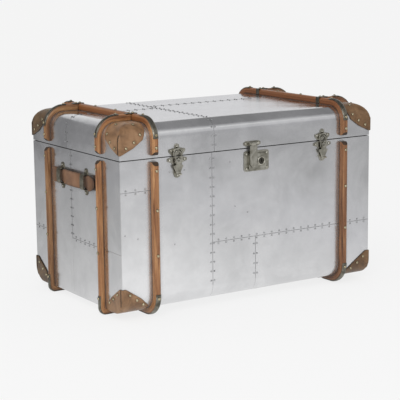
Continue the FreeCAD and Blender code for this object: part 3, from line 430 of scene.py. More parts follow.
oak_end = oak_end_material()
looks = {
    "aluminium_sheet": aluminium_material(),
    "brown_leather": leather_material(
        "corner leather", (0.108, 0.053, 0.022), (0.275, 0.150, 0.072), (0.41, 0.242, 0.13), 0.28),
    "oak_batten": oak_material(),
    "plywood": plywood_material(),
    "nickel_stud": worn_metal(
        "stud brass", (0.26, 0.215, 0.13), (0.52, 0.445, 0.29), (0.80, 0.72, 0.52), 0.22, 120.0),
    "steel_strap": worn_metal(
        "dark steel", (0.085, 0.080, 0.062), (0.19, 0.178, 0.145), (0.35, 0.33, 0.275), 0.32),
    "lock_brass": worn_metal(
        "lock metal", (0.17, 0.16, 0.12), (0.34, 0.325, 0.265), (0.56, 0.54, 0.46), 0.30),
    "pewter_fitting": worn_metal(
        "pewter", (0.22, 0.21, 0.165), (0.44, 0.425, 0.36), (0.68, 0.665, 0.585), 0.30),
}
own_looks = {
    # The key plug's metal is near black: painted shade of the keyhole's recess
    "key_plug": worn_metal(
        "plug metal", (0.03, 0.028, 0.022), (0.09, 0.085, 0.07), (0.20, 0.19, 0.16), 0.34),
    "handle_brackets": worn_metal(
        "bracket bronze", (0.09, 0.08, 0.055), (0.24, 0.22, 0.165), (0.46, 0.43, 0.34), 0.30),
}
rivet_look = worn_metal(
    "rivet pewter", (0.30, 0.28, 0.22), (0.58, 0.56, 0.48), (0.80, 0.785, 0.71), 0.24, 120.0)
handle_leather = leather_material(
    "handle leather", (0.125, 0.057, 0.028), (0.24, 0.120, 0.060), (0.32, 0.175, 0.10), 0.40)

for name, node in nodes.items():
    node.data.materials.clear()
    node.data.materials.append(looks[slot_of[name]])


# CAD pieces shown as they are, with softened edges

SHEET_EDGE, CLIP_EDGE = 0.0005, 0.0006


def soften(name, width):
    node = nodes[name]
    for face in node.data.polygons:
        face.use_smooth = True
    weld = node.modifiers.new("weld", "WELD")
    weld.merge_threshold = 1e-5
    edge = node.modifiers.new("edge", "BEVEL")
    edge.width = width
    edge.segments = 2
    edge.limit_method = "ANGLE"
    edge.angle_limit = math.radians(32)
    node.modifiers.new("shading", "WEIGHTED_NORMAL")


for name, slot in slot_of.items():
    if slot == "aluminium_sheet":
        soften(name, SHEET_EDGE)
for name in ("lid_joint_clips", "body_joint_clips"):
    soften(name, CLIP_EDGE)


# Battens

# Run of the grain round a bend, and where each other kind of batten starts in the plank
BEND_RUN = 0.07
BODY_HOOP_GRAIN, LID_END_GRAIN, BODY_END_GRAIN = 0.4, 0.9, 1.6
# Faces this near to the rim may belong to a batten's cut tip
TIP_REACH = 0.025


def lid_depth(across, height, half):
    """How far a point stands off the lid's sheet; across is measured along the batten's run."""
    reach = max(abs(across) - (half - ROLL), 0.0)
    rise = max(height - LID_TURN, 0.0)
    return math.hypot(reach, rise) - ROLL


def body_depth(across, height, half, turn):
    """How far a point stands off the body's sheet, which turns under with the given radius."""
    reach = max(abs(across) - (half - turn), 0.0)
    fall = max(BOX_BOTTOM + turn - height, 0.0)
    return math.hypot(reach, fall) - turn


def run_along(across, beyond, half, turn):
    """Distance along a bent batten from the bend's start, for the grain; beyond is the height past it."""
    reach = max(abs(across) - (half - turn), 0.0)
    if reach <= 1e-6:
        return BEND_RUN + (half - turn) - abs(across)
    if beyond <= 0:
        return beyond
    return BEND_RUN * math.atan2(beyond, reach) / (math.pi / 2)


def section_block(middle, width, thickness, across):
    """Square end of a batten, from which it is drawn out."""
    bpy.ops.object.select_all(action="DESELECT")
    bpy.ops.mesh.primitive_plane_add(size=1, location=middle)
    piece = bpy.context.object
    piece.scale = (width, thickness, 1) if across == 0 else (thickness, width, 1)
    bpy.ops.object.transform_apply(location=True, rotation=True, scale=True)
    edit(piece)
    return piece


def draw_out(way):
    bpy.ops.mesh.extrude_region_move(TRANSFORM_OT_translate={"value": way})


def bend(centre, axis, angle, segments=9):
    bpy.ops.mesh.spin(steps=segments, angle=math.radians(angle), center=centre, axis=axis)


def round_outer(piece, depth, across):
    """Rounds the two long outer edges of a batten."""
    points = piece.data.vertices

    def outer_long(edge):
        a, b = (points[i].co for i in edge.vertices)
        return min(depth(a), depth(b)) > BATTEN / 2 and abs(a[across] - b[across]) < 1e-5

    pick(piece, "EDGE", outer_long)
    bpy.ops.mesh.bevel(offset=BATTEN_ROUND, segments=6, affect="EDGES", profile=0.5)
    done()


def cut_away(piece, point, normal, fill=True):
    edit(piece)
    bpy.ops.mesh.bisect(plane_co=point, plane_no=normal, use_fill=fill, clear_outer=True)
    done()


def mark_grain(piece, along, across, centre, half_width, depth, tip_normal):
    """Gives each point its place along, across and deep in the batten, and the cut tips their own wood."""
    mesh = piece.data
    values = []
    for v in mesh.vertices:
        values += [along(v.co), (v.co[across] - centre) / half_width, depth(v.co) / BATTEN]
    mesh.attributes.new("grain", "FLOAT_VECTOR", "POINT").data.foreach_set("vector", values)
    mesh.materials.clear()
    mesh.materials.append(looks["oak_batten"])
    mesh.materials.append(oak_end)
    for face in mesh.polygons:
        at_tip = abs(face.center.z - RIM) < TIP_REACH
        face.material_index = 1 if at_tip and face.normal.z * tip_normal > 0.5 else 0
    smooth(piece, 40)


def lid_hoop():
    """Bent batten over the lid from front to back, at the left."""
    piece = section_block((-HOOP_X, -HALF_DEPTH - BATTEN / 2, LID_TIP), BATTEN, BATTEN, 0)
    flat = HALF_DEPTH - ROLL
    draw_out((0, 0, LID_TURN - LID_TIP))
    bend((-HOOP_X, -flat, LID_TURN), (1, 0, 0), 90)
    draw_out((0, 2 * flat, 0))
    bend((-HOOP_X, flat, LID_TURN), (1, 0, 0), 90)
    draw_out((0, 0, LID_TIP - LID_TURN))
    done()
    outward(piece)

    def depth(p):
        return lid_depth(p.y, p.z, HALF_DEPTH)

    round_outer(piece, depth, 0)
    straps = [lid_hoop_strap(piece, depth, side) for side in (-1, 1)]
    for side in (-1, 1):
        cut_away(piece, (0, side * (HALF_DEPTH + BATTEN - TIP_BEVEL), LID_TIP), (0, side, -1))
    mark_grain(
        piece, lambda p: run_along(p.y, p.z - LID_TURN, HALF_DEPTH, ROLL),
        0, -HOOP_X, BATTEN / 2, depth, -1)
    return piece, straps


def body_hoop():
    """Bent batten down the front, under the floor and up the back, at the left."""
    piece = section_block((-HOOP_X, -HALF_DEPTH - BATTEN / 2, BODY_TIP), BATTEN, BATTEN, 0)
    flat = HALF_DEPTH - ROLL
    draw_out((0, 0, BODY_TURN - BODY_TIP))
    bend((-HOOP_X, -flat, BODY_TURN), (1, 0, 0), -90)
    draw_out((0, 2 * flat, 0))
    bend((-HOOP_X, flat, BODY_TURN), (1, 0, 0), -90)
    draw_out((0, 0, BODY_TIP - BODY_TURN))
    done()
    outward(piece)

    def depth(p):
        return body_depth(p.y, p.z, HALF_DEPTH, ROLL)

    round_outer(piece, depth, 0)
    straps = [body_hoop_strap(piece, depth, side) for side in (-1, 1)]
    for side in (-1, 1):
        cut_away(piece, (0, side * (HALF_DEPTH + BATTEN - TIP_BEVEL), BODY_TIP), (0, side, 1))
    mark_grain(
        piece, lambda p: run_along(p.y, BODY_TURN - p.z, HALF_DEPTH, ROLL) + BODY_HOOP_GRAIN,
        0, -HOOP_X, BATTEN / 2, depth, 1)
    return piece, straps


def thin_the_side(piece, depth, limit):
    """Moves the outer face of the upright leg in, so that the batten is thinner there than over the top."""
    pick(piece, "VERT", lambda v: depth(v.co) > BATTEN / 2 and v.co.x < limit)
    bpy.ops.transform.translate(value=(END_THINNER, 0, 0))
    done()


def lid_end_batten():
    """Batten up the left end at the front and over the lid to the hoop."""
    piece = section_block((-HALF_LENGTH - BATTEN / 2, -END_BATTEN_Y, LID_TIP), END_BATTEN_WIDTH, BATTEN, 1)
    flat = HALF_LENGTH - ROLL
    draw_out((0, 0, LID_TURN - LID_TIP))
    bend((-flat, -END_BATTEN_Y, LID_TURN), (0, 1, 0), -90)
    draw_out((flat - HOOP_X - BATTEN / 2, 0, 0))
    done()
    outward(piece)

    def depth(p):
        return lid_depth(p.x, p.z, HALF_LENGTH)

    round_outer(piece, depth, 1)
    thin_the_side(piece, depth, -flat + HAIR)
    strap = lid_end_strap(piece, depth)
    cut_away(piece, (-HALF_LENGTH - BATTEN + END_THINNER + TIP_BEVEL, 0, LID_TIP), (-1, 0, -1))
    mark_grain(
        piece, lambda p: run_along(p.x, p.z - LID_TURN, HALF_LENGTH, ROLL) + LID_END_GRAIN,
        1, -END_BATTEN_Y, END_BATTEN_WIDTH / 2, depth, -1)
    return piece, [strap]


def body_end_batten():
    """Batten down the left end at the front and under the floor to the hoop."""
    piece = section_block((-HALF_LENGTH - BATTEN / 2, -END_BATTEN_Y, BODY_TIP), END_BATTEN_WIDTH, BATTEN, 1)
    draw_out((0, 0, BOX_BOTTOM - BODY_TIP))
    bend((-HALF_LENGTH, -END_BATTEN_Y, BOX_BOTTOM), (0, 1, 0), 90, 7)
    draw_out((HALF_LENGTH - HOOP_X - BATTEN / 2, 0, 0))
    done()
    outward(piece)

    def depth(p):
        return body_depth(p.x, p.z, HALF_LENGTH, 0.0)

    round_outer(piece, depth, 1)
    thin_the_side(piece, depth, -HALF_LENGTH + HAIR)
    strap = body_end_strap(piece, depth)
    cut_away(piece, (-HALF_LENGTH - BATTEN + END_THINNER + TIP_BEVEL, 0, BODY_TIP), (-1, 0, 1))
    mark_grain(
        piece, lambda p: run_along(p.x, BOX_BOTTOM - p.z, HALF_LENGTH, HAIR) + BODY_END_GRAIN,
        1, -END_BATTEN_Y, END_BATTEN_WIDTH / 2, depth, 1)
    return piece, [strap]


# Steel straps, shaped on the battens that they lie on

# Thickness of the steel and of its rounded edge, and how far down a batten's round the steel goes
STRAP_SKIN, STRAP_EDGE, STRAP_COVER = 0.0015, 0.0004, 0.004
# How far the straps reach past the bends
LID_STRAP_DROP, LID_STRAP_REACH = 0.040, 0.014
HOOP_STRAP_RISE, HOOP_STRAP_REACH = 0.004, 0.040
END_STRAP_RISE, END_STRAP_REACH = 0.036, 0.050


def strap_on(piece, name, depth, across, windows):
    """Thickens the outer face of a batten between cuts; each cut is a point and the way that is taken off."""
    strap = copy_of(piece, name)
    for point, normal in windows:
        cut_away(strap, point, normal, False)
    points = strap.data.vertices

    def beneath(face):
        stands = min(depth(points[i].co) for i in face.vertices)
        return stands < BATTEN - END_THINNER - STRAP_COVER or abs(face.normal[across]) > 0.75

    pick(strap, "FACE", beneath)
    bpy.ops.mesh.delete(type="FACE")
    done()
    modify(strap, "SOLIDIFY", thickness=STRAP_SKIN, offset=1.0)
    limit = math.radians(50)
    modify(strap, "BEVEL", width=STRAP_EDGE, segments=2, limit_method="ANGLE", angle_limit=limit)
    strap.data.materials.clear()
    strap.data.materials.append(looks["steel_strap"])
    smooth(strap, 40)
    return strap


def lid_hoop_strap(piece, depth, side):
    windows = [
        ((0, 0, LID_TOP - LID_STRAP_DROP), (0, 0, -1)),
        ((0, side * (HALF_DEPTH - ROLL - LID_STRAP_REACH), 0), (0, -side, 0)),
    ]
    return strap_on(piece, "lid_hoop_strap", depth, 0, windows)


def body_hoop_strap(piece, depth, side):
    windows = [
        ((0, 0, BODY_TURN + HOOP_STRAP_RISE), (0, 0, 1)),
        ((0, side * (HALF_DEPTH - ROLL - HOOP_STRAP_REACH), 0), (0, -side, 0)),
    ]
    return strap_on(piece, "body_hoop_strap", depth, 0, windows)


def lid_end_strap(piece, depth):
    windows = [
        ((0, 0, LID_TOP - LID_STRAP_DROP), (0, 0, -1)),
        ((-HALF_LENGTH + ROLL + LID_STRAP_REACH, 0, 0), (1, 0, 0)),
    ]
    return strap_on(piece, "lid_end_strap", depth, 1, windows)


def body_end_strap(piece, depth):
    windows = [
        ((0, 0, BOX_BOTTOM + END_STRAP_RISE), (0, 0, 1)),
        ((-HALF_LENGTH + END_STRAP_REACH, 0, 0), (1, 0, 0)),
    ]
    return strap_on(piece, "body_end_strap", depth, 1, windows)


for body, make_hoop, make_end in (("lid", lid_hoop, lid_end_batten), ("body", body_hoop, body_end_batten)):
    hoop, hoop_straps = make_hoop()
    end, end_straps = make_end()
    straps = []
    for side, matrix in (("left", Matrix.Identity(4)), ("right", FLIP_X)):
        twin = copy_of(hoop, body + "_hoop_" + side + "_oak", matrix)
        fit(twin, body, "oak_batten", body + "_hoop_" + side)
        straps += [copy_of(s, body + "_strap", matrix) for s in hoop_straps]
    for corner, matrix in SIDES.items():
        twin = copy_of(end, body + "_end_batten_" + corner + "_oak", matrix)
        fit(twin, body, "oak_batten", body + "_end_batten_" + corner)
        straps += [copy_of(s, body + "_strap", matrix) for s in end_straps]
    for spare in [hoop, end, *hoop_straps, *end_straps]:
        bpy.data.objects.remove(spare)
    fit(join(straps, body + "_bend_straps_steel"), body, "steel_strap", body + "_bend_straps")


# Leather corners

# Fineness of the leather, the fold's distance from the corner and its lower and upper ends
LEATHER_VOXEL = 0.0014
FOLD_IN = 0.004
LID_FOLD, BODY_FOLD = (0.470, 0.540), (0.045, 0.110)
# Blade that presses the fold: its depth, its width and its middle's distance off the sheet
BLADE_DEPTH, BLADE_WIDTH, BLADE_OFF_SHEET = 0.0066, 0.0040, 0.0035
# How far the fold's painted shade reaches beside it, how far within its ends that starts to fade, and over
# what length
FOLD_BESIDE, FOLD_WITHIN, FOLD_FADE = 0.0032, 0.004, 0.006
# Leather nearer to the sheet than this is its rim, how many times the rim's painted shade is spread, and its
# strength
RIM_GAP, RIM_SPREADS, RIM_DARK = 0.0022, 7, 0.7
# Heights past which the leather is drawn into a dome, and how far it swells all over
LID_DOME, BODY_DOME = LID_TURN + 0.004, BODY_TURN - 0.030
LEATHER_SWELL = 0.0006


def merged_copy(name, new_name):
    """Free copy of a CAD node, with its loose triangles joined up."""
    piece = copy_of(nodes[name], new_name)
    piece.parent = None
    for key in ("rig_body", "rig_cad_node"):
        del piece[key]
    piece.modifiers.clear()
    outward(piece)
    return piece


def crease_cutter(low, high):
    """Thin blades that press the fold beside each upright edge of the leather."""
    blades = []
    for matrix in SIDES.values():
        bpy.ops.object.select_all(action="DESELECT")
        middle = (-HALF_LENGTH - BLADE_OFF_SHEET, -HALF_DEPTH + FOLD_IN, (low + high) / 2)
        bpy.ops.mesh.primitive_cube_add(size=1, location=middle)
        blade = bpy.context.object
        blade.scale = (BLADE_DEPTH, BLADE_WIDTH, high - low)
        bpy.ops.object.transform_apply(location=True, rotation=True, scale=True)
        blade.data.transform(matrix)
        blades.append(blade)
    cutter = join(blades, "crease_cutter")
    outward(cutter)
    return cutter


def sheet_tree():
    """All aluminium sheets as one searchable surface."""
    points, faces = [], []
    for name, slot in slot_of.items():
        if slot == "aluminium_sheet":
            sheet = nodes[name].data
            faces += [[len(points) + i for i in face.vertices] for face in sheet.polygons]
            points += [v.co for v in sheet.vertices]
    return BVHTree.FromPolygons(points, faces)


def near_rim(piece):
    """One where the leather meets the sheet, fading out over a few millimetres."""
    under = sheet_tree()
    gaps = [under.find_nearest(v.co)[3] for v in piece.data.vertices]
    rim = np.array([1.0 if gap < RIM_GAP else 0.0 for gap in gaps])
    first, second = np.array([edge.vertices[:] for edge in piece.data.edges]).T
    neighbours = np.bincount(first, minlength=len(rim)) + np.bincount(second, minlength=len(rim))
    for _ in range(RIM_SPREADS):
        around = np.bincount(first, rim[second], len(rim)) + np.bincount(second, rim[first], len(rim))
        rim = 0.4 * rim + 0.6 * around / neighbours
    return rim


def mark_fold_and_rim_shade(piece, low, high):
    """Marks painted shade by how near each point of the leather lies to its rim or to the fold beside its
    upright edge.
    """
    rim = near_rim(piece)
    marks = []
    for v in piece.data.vertices:
        beside = abs(abs(v.co.y) - (HALF_DEPTH - FOLD_IN)) / FOLD_BESIDE
        beyond = max(low + FOLD_WITHIN - v.co.z, v.co.z - high + FOLD_WITHIN, 0.0) / FOLD_FADE
        on_end = abs(v.co.x) > HALF_LENGTH - FOLD_IN
        marks.append(max(1.0 - math.hypot(beside, beyond) if on_end else 0.0, RIM_DARK * rim[v.index]))
    piece.data.attributes.new("fold", "FLOAT", "POINT").data.foreach_set("value", marks)


def leather_corners(body, low, high):
    """Leather over the four corners of the lid or body, with a fold between two heights."""
    piece = merged_copy(body + "_leather_corners", body + "_leather_corner_covers")
    cutter = crease_cutter(low, high)
    modify(piece, "BOOLEAN", operation="DIFFERENCE", object=cutter, solver="EXACT")
    bpy.data.objects.remove(cutter)
    modify(piece, "REMESH", mode="VOXEL", voxel_size=LEATHER_VOXEL)
    dome = [
        v.index for v in piece.data.vertices
        if (v.co.z > LID_DOME if body == "lid" else v.co.z < BODY_DOME)
    ]
    piece.vertex_groups.new(name="dome").add(dome, 1.0, "REPLACE")
    modify(piece, "SMOOTH", factor=0.5, iterations=60, vertex_group="dome")
    modify(piece, "SMOOTH", factor=0.5, iterations=4)
    modify(piece, "DISPLACE", strength=LEATHER_SWELL, mid_level=0.0)
    mark_fold_and_rim_shade(piece, low, high)
    piece.data.materials.clear()
    piece.data.materials.append(looks["brown_leather"])
    smooth(piece, 60)
    return fit(piece, body, "brown_leather", body + "_leather_corners")


lid_leather = leather_corners("lid", *LID_FOLD)
body_leather = leather_corners("body", *BODY_FOLD)


# Cast fittings with rounded edges

# Fineness of the castings, swell and half height of a bracket's band, and where a lever is cut under the rim
CAST_VOXEL = 0.0005
BRACKET_SWELL, BRACKET_HALF = 0.0035, 0.024
LEVER_CUT, SHIELD_THICKNESS = 0.034, 0.0040
# A bracket's band starts this far off the sheet, and its middle line reaches this far up and down
BAND_OFF_SHEET, BAND_LINE = 0.006, 0.002
RING_RADIUS, RING_WIRE = 0.0116, 0.0019


def swell(piece):
    """Draws the bands of the handle brackets outwards into a round saddle."""
    for side in (-1, 1):
        pick(
            piece, "VERT",
            lambda v: side * v.co.x > HALF_LENGTH + BAND_OFF_SHEET and abs(v.co.z - HANDLE_Z) < BAND_LINE)
        bpy.ops.transform.translate(
            value=(side * BRACKET_SWELL, 0, 0), use_proportional_edit=True, use_proportional_connected=True,
            proportional_edit_falloff="SPHERE", proportional_size=BRACKET_HALF)
        done()


def cast(name, body):
    """Cast copy of a fitting, without the lower end of a lever, which its shield takes over."""
    piece = merged_copy(name, name + "_cast")
    if name.endswith("latch_lever"):
        cut_away(piece, (0, 0, RIM - LEVER_CUT), (0, 0, -1))
    modify(piece, "REMESH", mode="VOXEL", voxel_size=CAST_VOXEL)
    if name == "handle_brackets":
        swell(piece)
    modify(piece, "SMOOTH", factor=0.5, iterations=4)
    modify(piece, "DECIMATE", ratio=0.4)
    piece.data.materials.clear()
    piece.data.materials.append(own_looks.get(name, looks[slot_of[name]]))
    smooth(piece, 60)
    return fit(piece, body, slot_of[name], name)


def add_shield(name):
    """Shield-shaped plate of a latch's lever, with its end curled out, joined to the lever."""
    # Height from the rim, half width and distance off the sheet
    stations = [
        (-0.0145, 0.0072, 0.0098), (-0.0200, 0.0074, 0.0102), (-0.0246, 0.0076, 0.0100),
        (-0.0266, 0.0166, 0.0099), (-0.0315, 0.0156, 0.0096), (-0.0365, 0.0126, 0.0093),
        (-0.0425, 0.0090, 0.0093), (-0.0475, 0.0070, 0.0105), (-0.0505, 0.0062, 0.0129),
        (-0.0505, 0.0058, 0.0153), (-0.0480, 0.0052, 0.0164),
    ]
    lever = bpy.data.objects[name + "_cast"]
    low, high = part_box(name)
    x = (low.x + high.x) / 2
    top, half, out = stations[0]
    middle = (x, -HALF_DEPTH - out, RIM + top - half)
    moves = [
        ((0, o0 - o1, z1 - z0), (w1 / w0, 1, 1), (x, 0, 0))
        for (z0, w0, o0), (z1, w1, o1) in zip(stations, stations[1:])
    ]
    shield = strip_from(middle, (math.pi / 2, 0, 0), half, lambda v: v.co.z < middle[2], moves)
    if sum(face.normal.y for face in shield.data.polygons[:5]) > 0:
        shield.data.flip_normals()
    thicken(shield, SHIELD_THICKNESS, -1.0, 0.0007)
    shield.data.materials.append(looks[slot_of[name]])
    smooth(shield, 60)
    join([lever, shield], lever.name)


for name, slot in slot_of.items():
    if slot in ("pewter_fitting", "lock_brass"):
        cast(name, nodes[name]["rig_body"])
        if name.endswith("latch_lever"):
            add_shield(name)


def lock_ring():
    """Raised ring round the keyhole, joined to the lock's plate."""
    plug_low, plug_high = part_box("key_plug")
    middle = (plug_low + plug_high) / 2
    middle.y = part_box("lock_plate")[0].y
    bpy.ops.object.select_all(action="DESELECT")
    bpy.ops.mesh.primitive_torus_add(
        major_radius=RING_RADIUS, minor_radius=RING_WIRE, major_segments=44, minor_segments=12,
        location=middle, rotation=(math.pi / 2, 0, 0))
    ring = bpy.context.object
    bpy.ops.object.transform_apply(location=True, rotation=True, scale=True)
    ring.data.materials.append(rivet_look)
    smooth(ring, 60)
    plate = bpy.data.objects["lock_plate_cast"]
    join([plate, ring], plate.name)


lock_ring()


# Handle straps

STRAP_OFF_SHEET, STRAP_THICKNESS = 0.0003, 0.005
# Wear: width and strength of the dark edge, where the tips start, where the tabs start and how dark they are
EDGE_WEAR, EDGE_DARK = 0.006, 0.5
TIP_START, TIP_FADE = 0.118, 0.010
TAB_START, TAB_FADE, TAB_DARK = 0.080, 0.020, 0.26


def mark_wear(piece, stations):
    """Darkens the edges, the tips and the tabs of a handle strap."""
    places = [station[0] for station in stations]
    halves = [station[1] for station in stations]
    marks = []
    for v in piece.data.vertices:
        half = np.interp(v.co.y, places, halves)
        at_edge = (abs(v.co.z - HANDLE_Z) - half + EDGE_WEAR) / EDGE_WEAR
        at_tip = (abs(v.co.y) - TIP_START) / TIP_FADE
        on_tab = (abs(v.co.y) - TAB_START) / TAB_FADE
        marks.append(max(EDGE_DARK * min(1.0, max(at_edge, at_tip, 0.0)), TAB_DARK * min(1.0, on_tab)))
    piece.data.attributes.new("fold", "FLOAT", "POINT").data.foreach_set("value", marks)


def handle_strap():
    """Leather strap at the left end: tabs beyond the brackets, necks under them and a bowed grip."""
    # Place along the strap, half width and lift off the sheet
    half_stations = [
        (-0.128, 0.0060, 0.0012), (-0.1270, 0.0115, 0.0026), (-0.1240, 0.0168, 0.0048),
        (-0.1185, 0.0212, 0.0066), (-0.110, 0.0236, 0.0076), (-0.100, 0.0232, 0.0062),
        (-0.092, 0.0205, 0.0030), (-0.086, 0.0186, 0.0012), (-0.080, 0.0182, 0.0008),
        (-0.066, 0.0182, 0.0010), (-0.060, 0.0196, 0.0018), (-0.054, 0.0226, 0.0036),
        (-0.040, 0.0230, 0.0062), (-0.020, 0.0230, 0.0076),
    ]
    stations = [*half_stations, (0.0, 0.0228, 0.0080), *[(-y, w, b) for y, w, b in reversed(half_stations)]]
    start, half, lift = stations[0]
    middle = (-HALF_LENGTH - STRAP_OFF_SHEET - lift, start + half, HANDLE_Z)
    moves = [
        ((b0 - b1, y1 - y0, 0), (1, 1, w1 / w0), (0, y1, HANDLE_Z))
        for (y0, w0, b0), (y1, w1, b1) in zip(stations, stations[1:])
    ]
    piece = strip_from(middle, (0, math.pi / 2, 0), half, lambda v: v.co.y > middle[1], moves)
    if sum(face.normal.x for face in piece.data.polygons) > 0:
        piece.data.flip_normals()
    thicken(piece, STRAP_THICKNESS, 1.0, 0.0014)
    mark_wear(piece, stations)
    piece.data.materials.clear()
    piece.data.materials.append(handle_leather)
    smooth(piece, 60)
    return piece


left_handle = handle_strap()
left_handle.name = "left_handle_leather"
right_handle = copy_of(left_handle, "right_handle_leather", FLIP_X)
fit(left_handle, "left_handle", "brown_leather", "left_handle_strap")
fit(right_handle, "right_handle", "brown_leather", "right_handle_strap")


# Studs, rivets and tacks

# A round head's radius within its faceted one, and the tacks' radius
HEAD_SHARE = 0.88
TACK_RADIUS = 0.0042
# Tacks on each face of a corner: distance from the upright edge, and from the lid's top or the floor
LID_TACKS = [(0.020, 0.062), (0.046, 0.047), (0.068, 0.028), (0.060, 0.004)]
BODY_TACKS = [(0.023, 0.057), (0.046, 0.040), (0.069, 0.025)]
# Distance from which the leather is looked at
LOOK_OFF = 0.2


def dome_head(segments, rings, height):
    """Upper half of a ball of radius one, pressed to a height."""
    bpy.ops.object.select_all(action="DESELECT")
    bpy.ops.mesh.primitive_uv_sphere_add(segments=segments, ring_count=rings, radius=1)
    piece = bpy.context.object
    cut_away(piece, (0, 0, 0), (0, 0, -1))
    edit(piece)
    bpy.ops.transform.resize(value=(1, 1, height))
    done()
    smooth(piece, 60)
    return piece


def set_heads(head, seats, name, look):
    """Copies one head to each seat: point, direction and radius."""
    made = []
    for point, way, radius in seats:
        turn = Vector((0, 0, 1)).rotation_difference(way).to_matrix().to_4x4()
        made.append(copy_of(head, name, Matrix.Translation(point) @ turn @ Matrix.Scale(radius, 4)))
    piece = join(made, name)
    piece.data.materials.clear()
    piece.data.materials.append(look)
    return piece


def loose_heads(mesh):
    """Points of each separate head in a mesh of loose triangles."""
    spots, index_of, owner = [], {}, []
    for v in mesh.vertices:
        key = tuple(round(c, 6) for c in v.co)
        if key not in index_of:
            index_of[key] = len(spots)
            spots.append(v.co.copy())
        owner.append(index_of[key])
    parent = list(range(len(spots)))

    def root(i):
        while parent[i] != i:
            i = parent[i]
        return i

    for face in mesh.polygons:
        a, *rest = [root(owner[i]) for i in face.vertices]
        for b in rest:
            parent[root(b)] = root(a)
    heads = {}
    for i, spot in enumerate(spots):
        heads.setdefault(root(i), []).append(spot)
    return heads.values()


def seats_of(name):
    """Foot, direction and radius of each faceted head in a CAD node."""
    seats = []
    for points in loose_heads(nodes[name].data):
        middle = sum(points, Vector()) / len(points)
        points.sort(key=lambda p: (p - middle).length)
        half = len(points) // 2
        crown = sum(points[:half], Vector()) / half
        foot = sum(points[half:], Vector()) / (len(points) - half)
        radius = HEAD_SHARE * max((p - foot).length for p in points[half:])
        seats.append((foot, (crown - foot).normalized(), radius))
    return seats


stud_head = dome_head(16, 10, 0.62)
for body in ("lid", "body"):
    for kind in ("batten_studs", "fitting_rivets"):
        name = body + "_" + kind
        head_look = rivet_look if name.endswith("rivets") else looks["nickel_stud"]
        heads = set_heads(stud_head, seats_of(name), name + "_domes", head_look)
        fit(heads, body, "nickel_stud", name)


def tack_seats(piece, level, downwards, spots):
    """Seats on the leather found by looking at it from outside each face of each corner."""
    bpy.context.view_layer.update()
    seats = []
    for along, drop in spots:
        lean = math.asin(1 - drop / ROLL) if drop < ROLL else 0.0
        inward, up = math.cos(lean), -downwards * math.sin(lean)
        for face in ("front", "end"):
            rolled = face == "front" or downwards < 0
            height = level + downwards * (max(drop, ROLL) if rolled else drop)
            if face == "front":
                base = Vector((-HALF_LENGTH + along, -HALF_DEPTH + ROLL, height))
                way = Vector((0, inward, -up))
            else:
                base = Vector((-HALF_LENGTH + ROLL, -HALF_DEPTH + along, height))
                way = Vector((inward, 0, -up) if rolled else (1, 0, 0))
            for matrix in SIDES.values():
                start = matrix @ (base - way * LOOK_OFF)
                hit, point, normal, _ = piece.ray_cast(start, matrix.to_3x3() @ way)
                if hit:
                    seats.append((point, normal, TACK_RADIUS))
    return seats


lid_tacks = tack_seats(lid_leather, LID_TOP, -1, LID_TACKS)
body_tacks = tack_seats(body_leather, BOX_BOTTOM, 1, BODY_TACKS)
for body, seats in (("lid", lid_tacks), ("body", body_tacks)):
    fit(set_heads(stud_head, seats, body + "_corner_tacks", looks["nickel_stud"]), body, "nickel_stud")


# Seams of the sheets, with small rivets on both sides

# Places of the seams on the body and the lid, the seam lines' width and how far they stand out
FRONT_SEAM_X, LOWER_SEAM_X, END_SEAM_Y = -0.142, 0.012, 0.024
WAIST, PATCH = BOX_BOTTOM + 0.175, BOX_BOTTOM + 0.353
LID_SEAM_X, LID_LONG_SEAM_Y, LID_END_SEAM_Y = -0.133, 0.097, 0.048
LINE, PROUD = 0.0013, 0.00025
RIVET_PITCH, RIVET_SIDE, RIVET_RADIUS = 0.0273, 0.0055, 0.0027
NAIL_RADIUS = 0.0020
# How far rivets stop short of a batten's middle, of other seams and of the sheets' edges
BATTEN_GAP = 0.012
SEAM_GAP, CLOSE_SEAM_GAP = 0.008, 0.007
EDGE_GAP, WIDE_EDGE_GAP, CLOSE_EDGE_GAP = 0.004, 0.006, 0.002


def steps(start, end):
    """Places of rivets between two ends of a seam, evenly spaced at about the pitch."""
    count = max(1, round(abs(end - start) / RIVET_PITCH))
    return [start + (end - start) * (i + 0.5) / count for i in range(count)]


def over_lid(run, half):
    """Spot (across, height) and facing at a run up the lid's front or left end and over its top."""
    wall = LID_TURN - LID_LOW
    arc = ROLL * math.pi / 2
    if run < wall:
        return (-half, LID_LOW + run), (-1, 0)
    if run < wall + arc:
        turn = (run - wall) / ROLL
        c, s = math.cos(turn), math.sin(turn)
        return (-half + ROLL - ROLL * c, LID_TURN + ROLL * s), (-c, s)
    return (-half + ROLL + run - wall - arc, LID_TOP), (0, 1)


LID_ARC = LID_TURN - LID_LOW + ROLL * math.pi / 2

# Single nails on the front: place along it and height
FRONT_NAILS = [
    (-0.437, 0.252), (-0.395, 0.238), (-0.272, 0.207), (-0.287, 0.421),
    (-0.078, 0.430), (-0.061, 0.296), (-0.016, 0.273), (-0.237, 0.422),
]


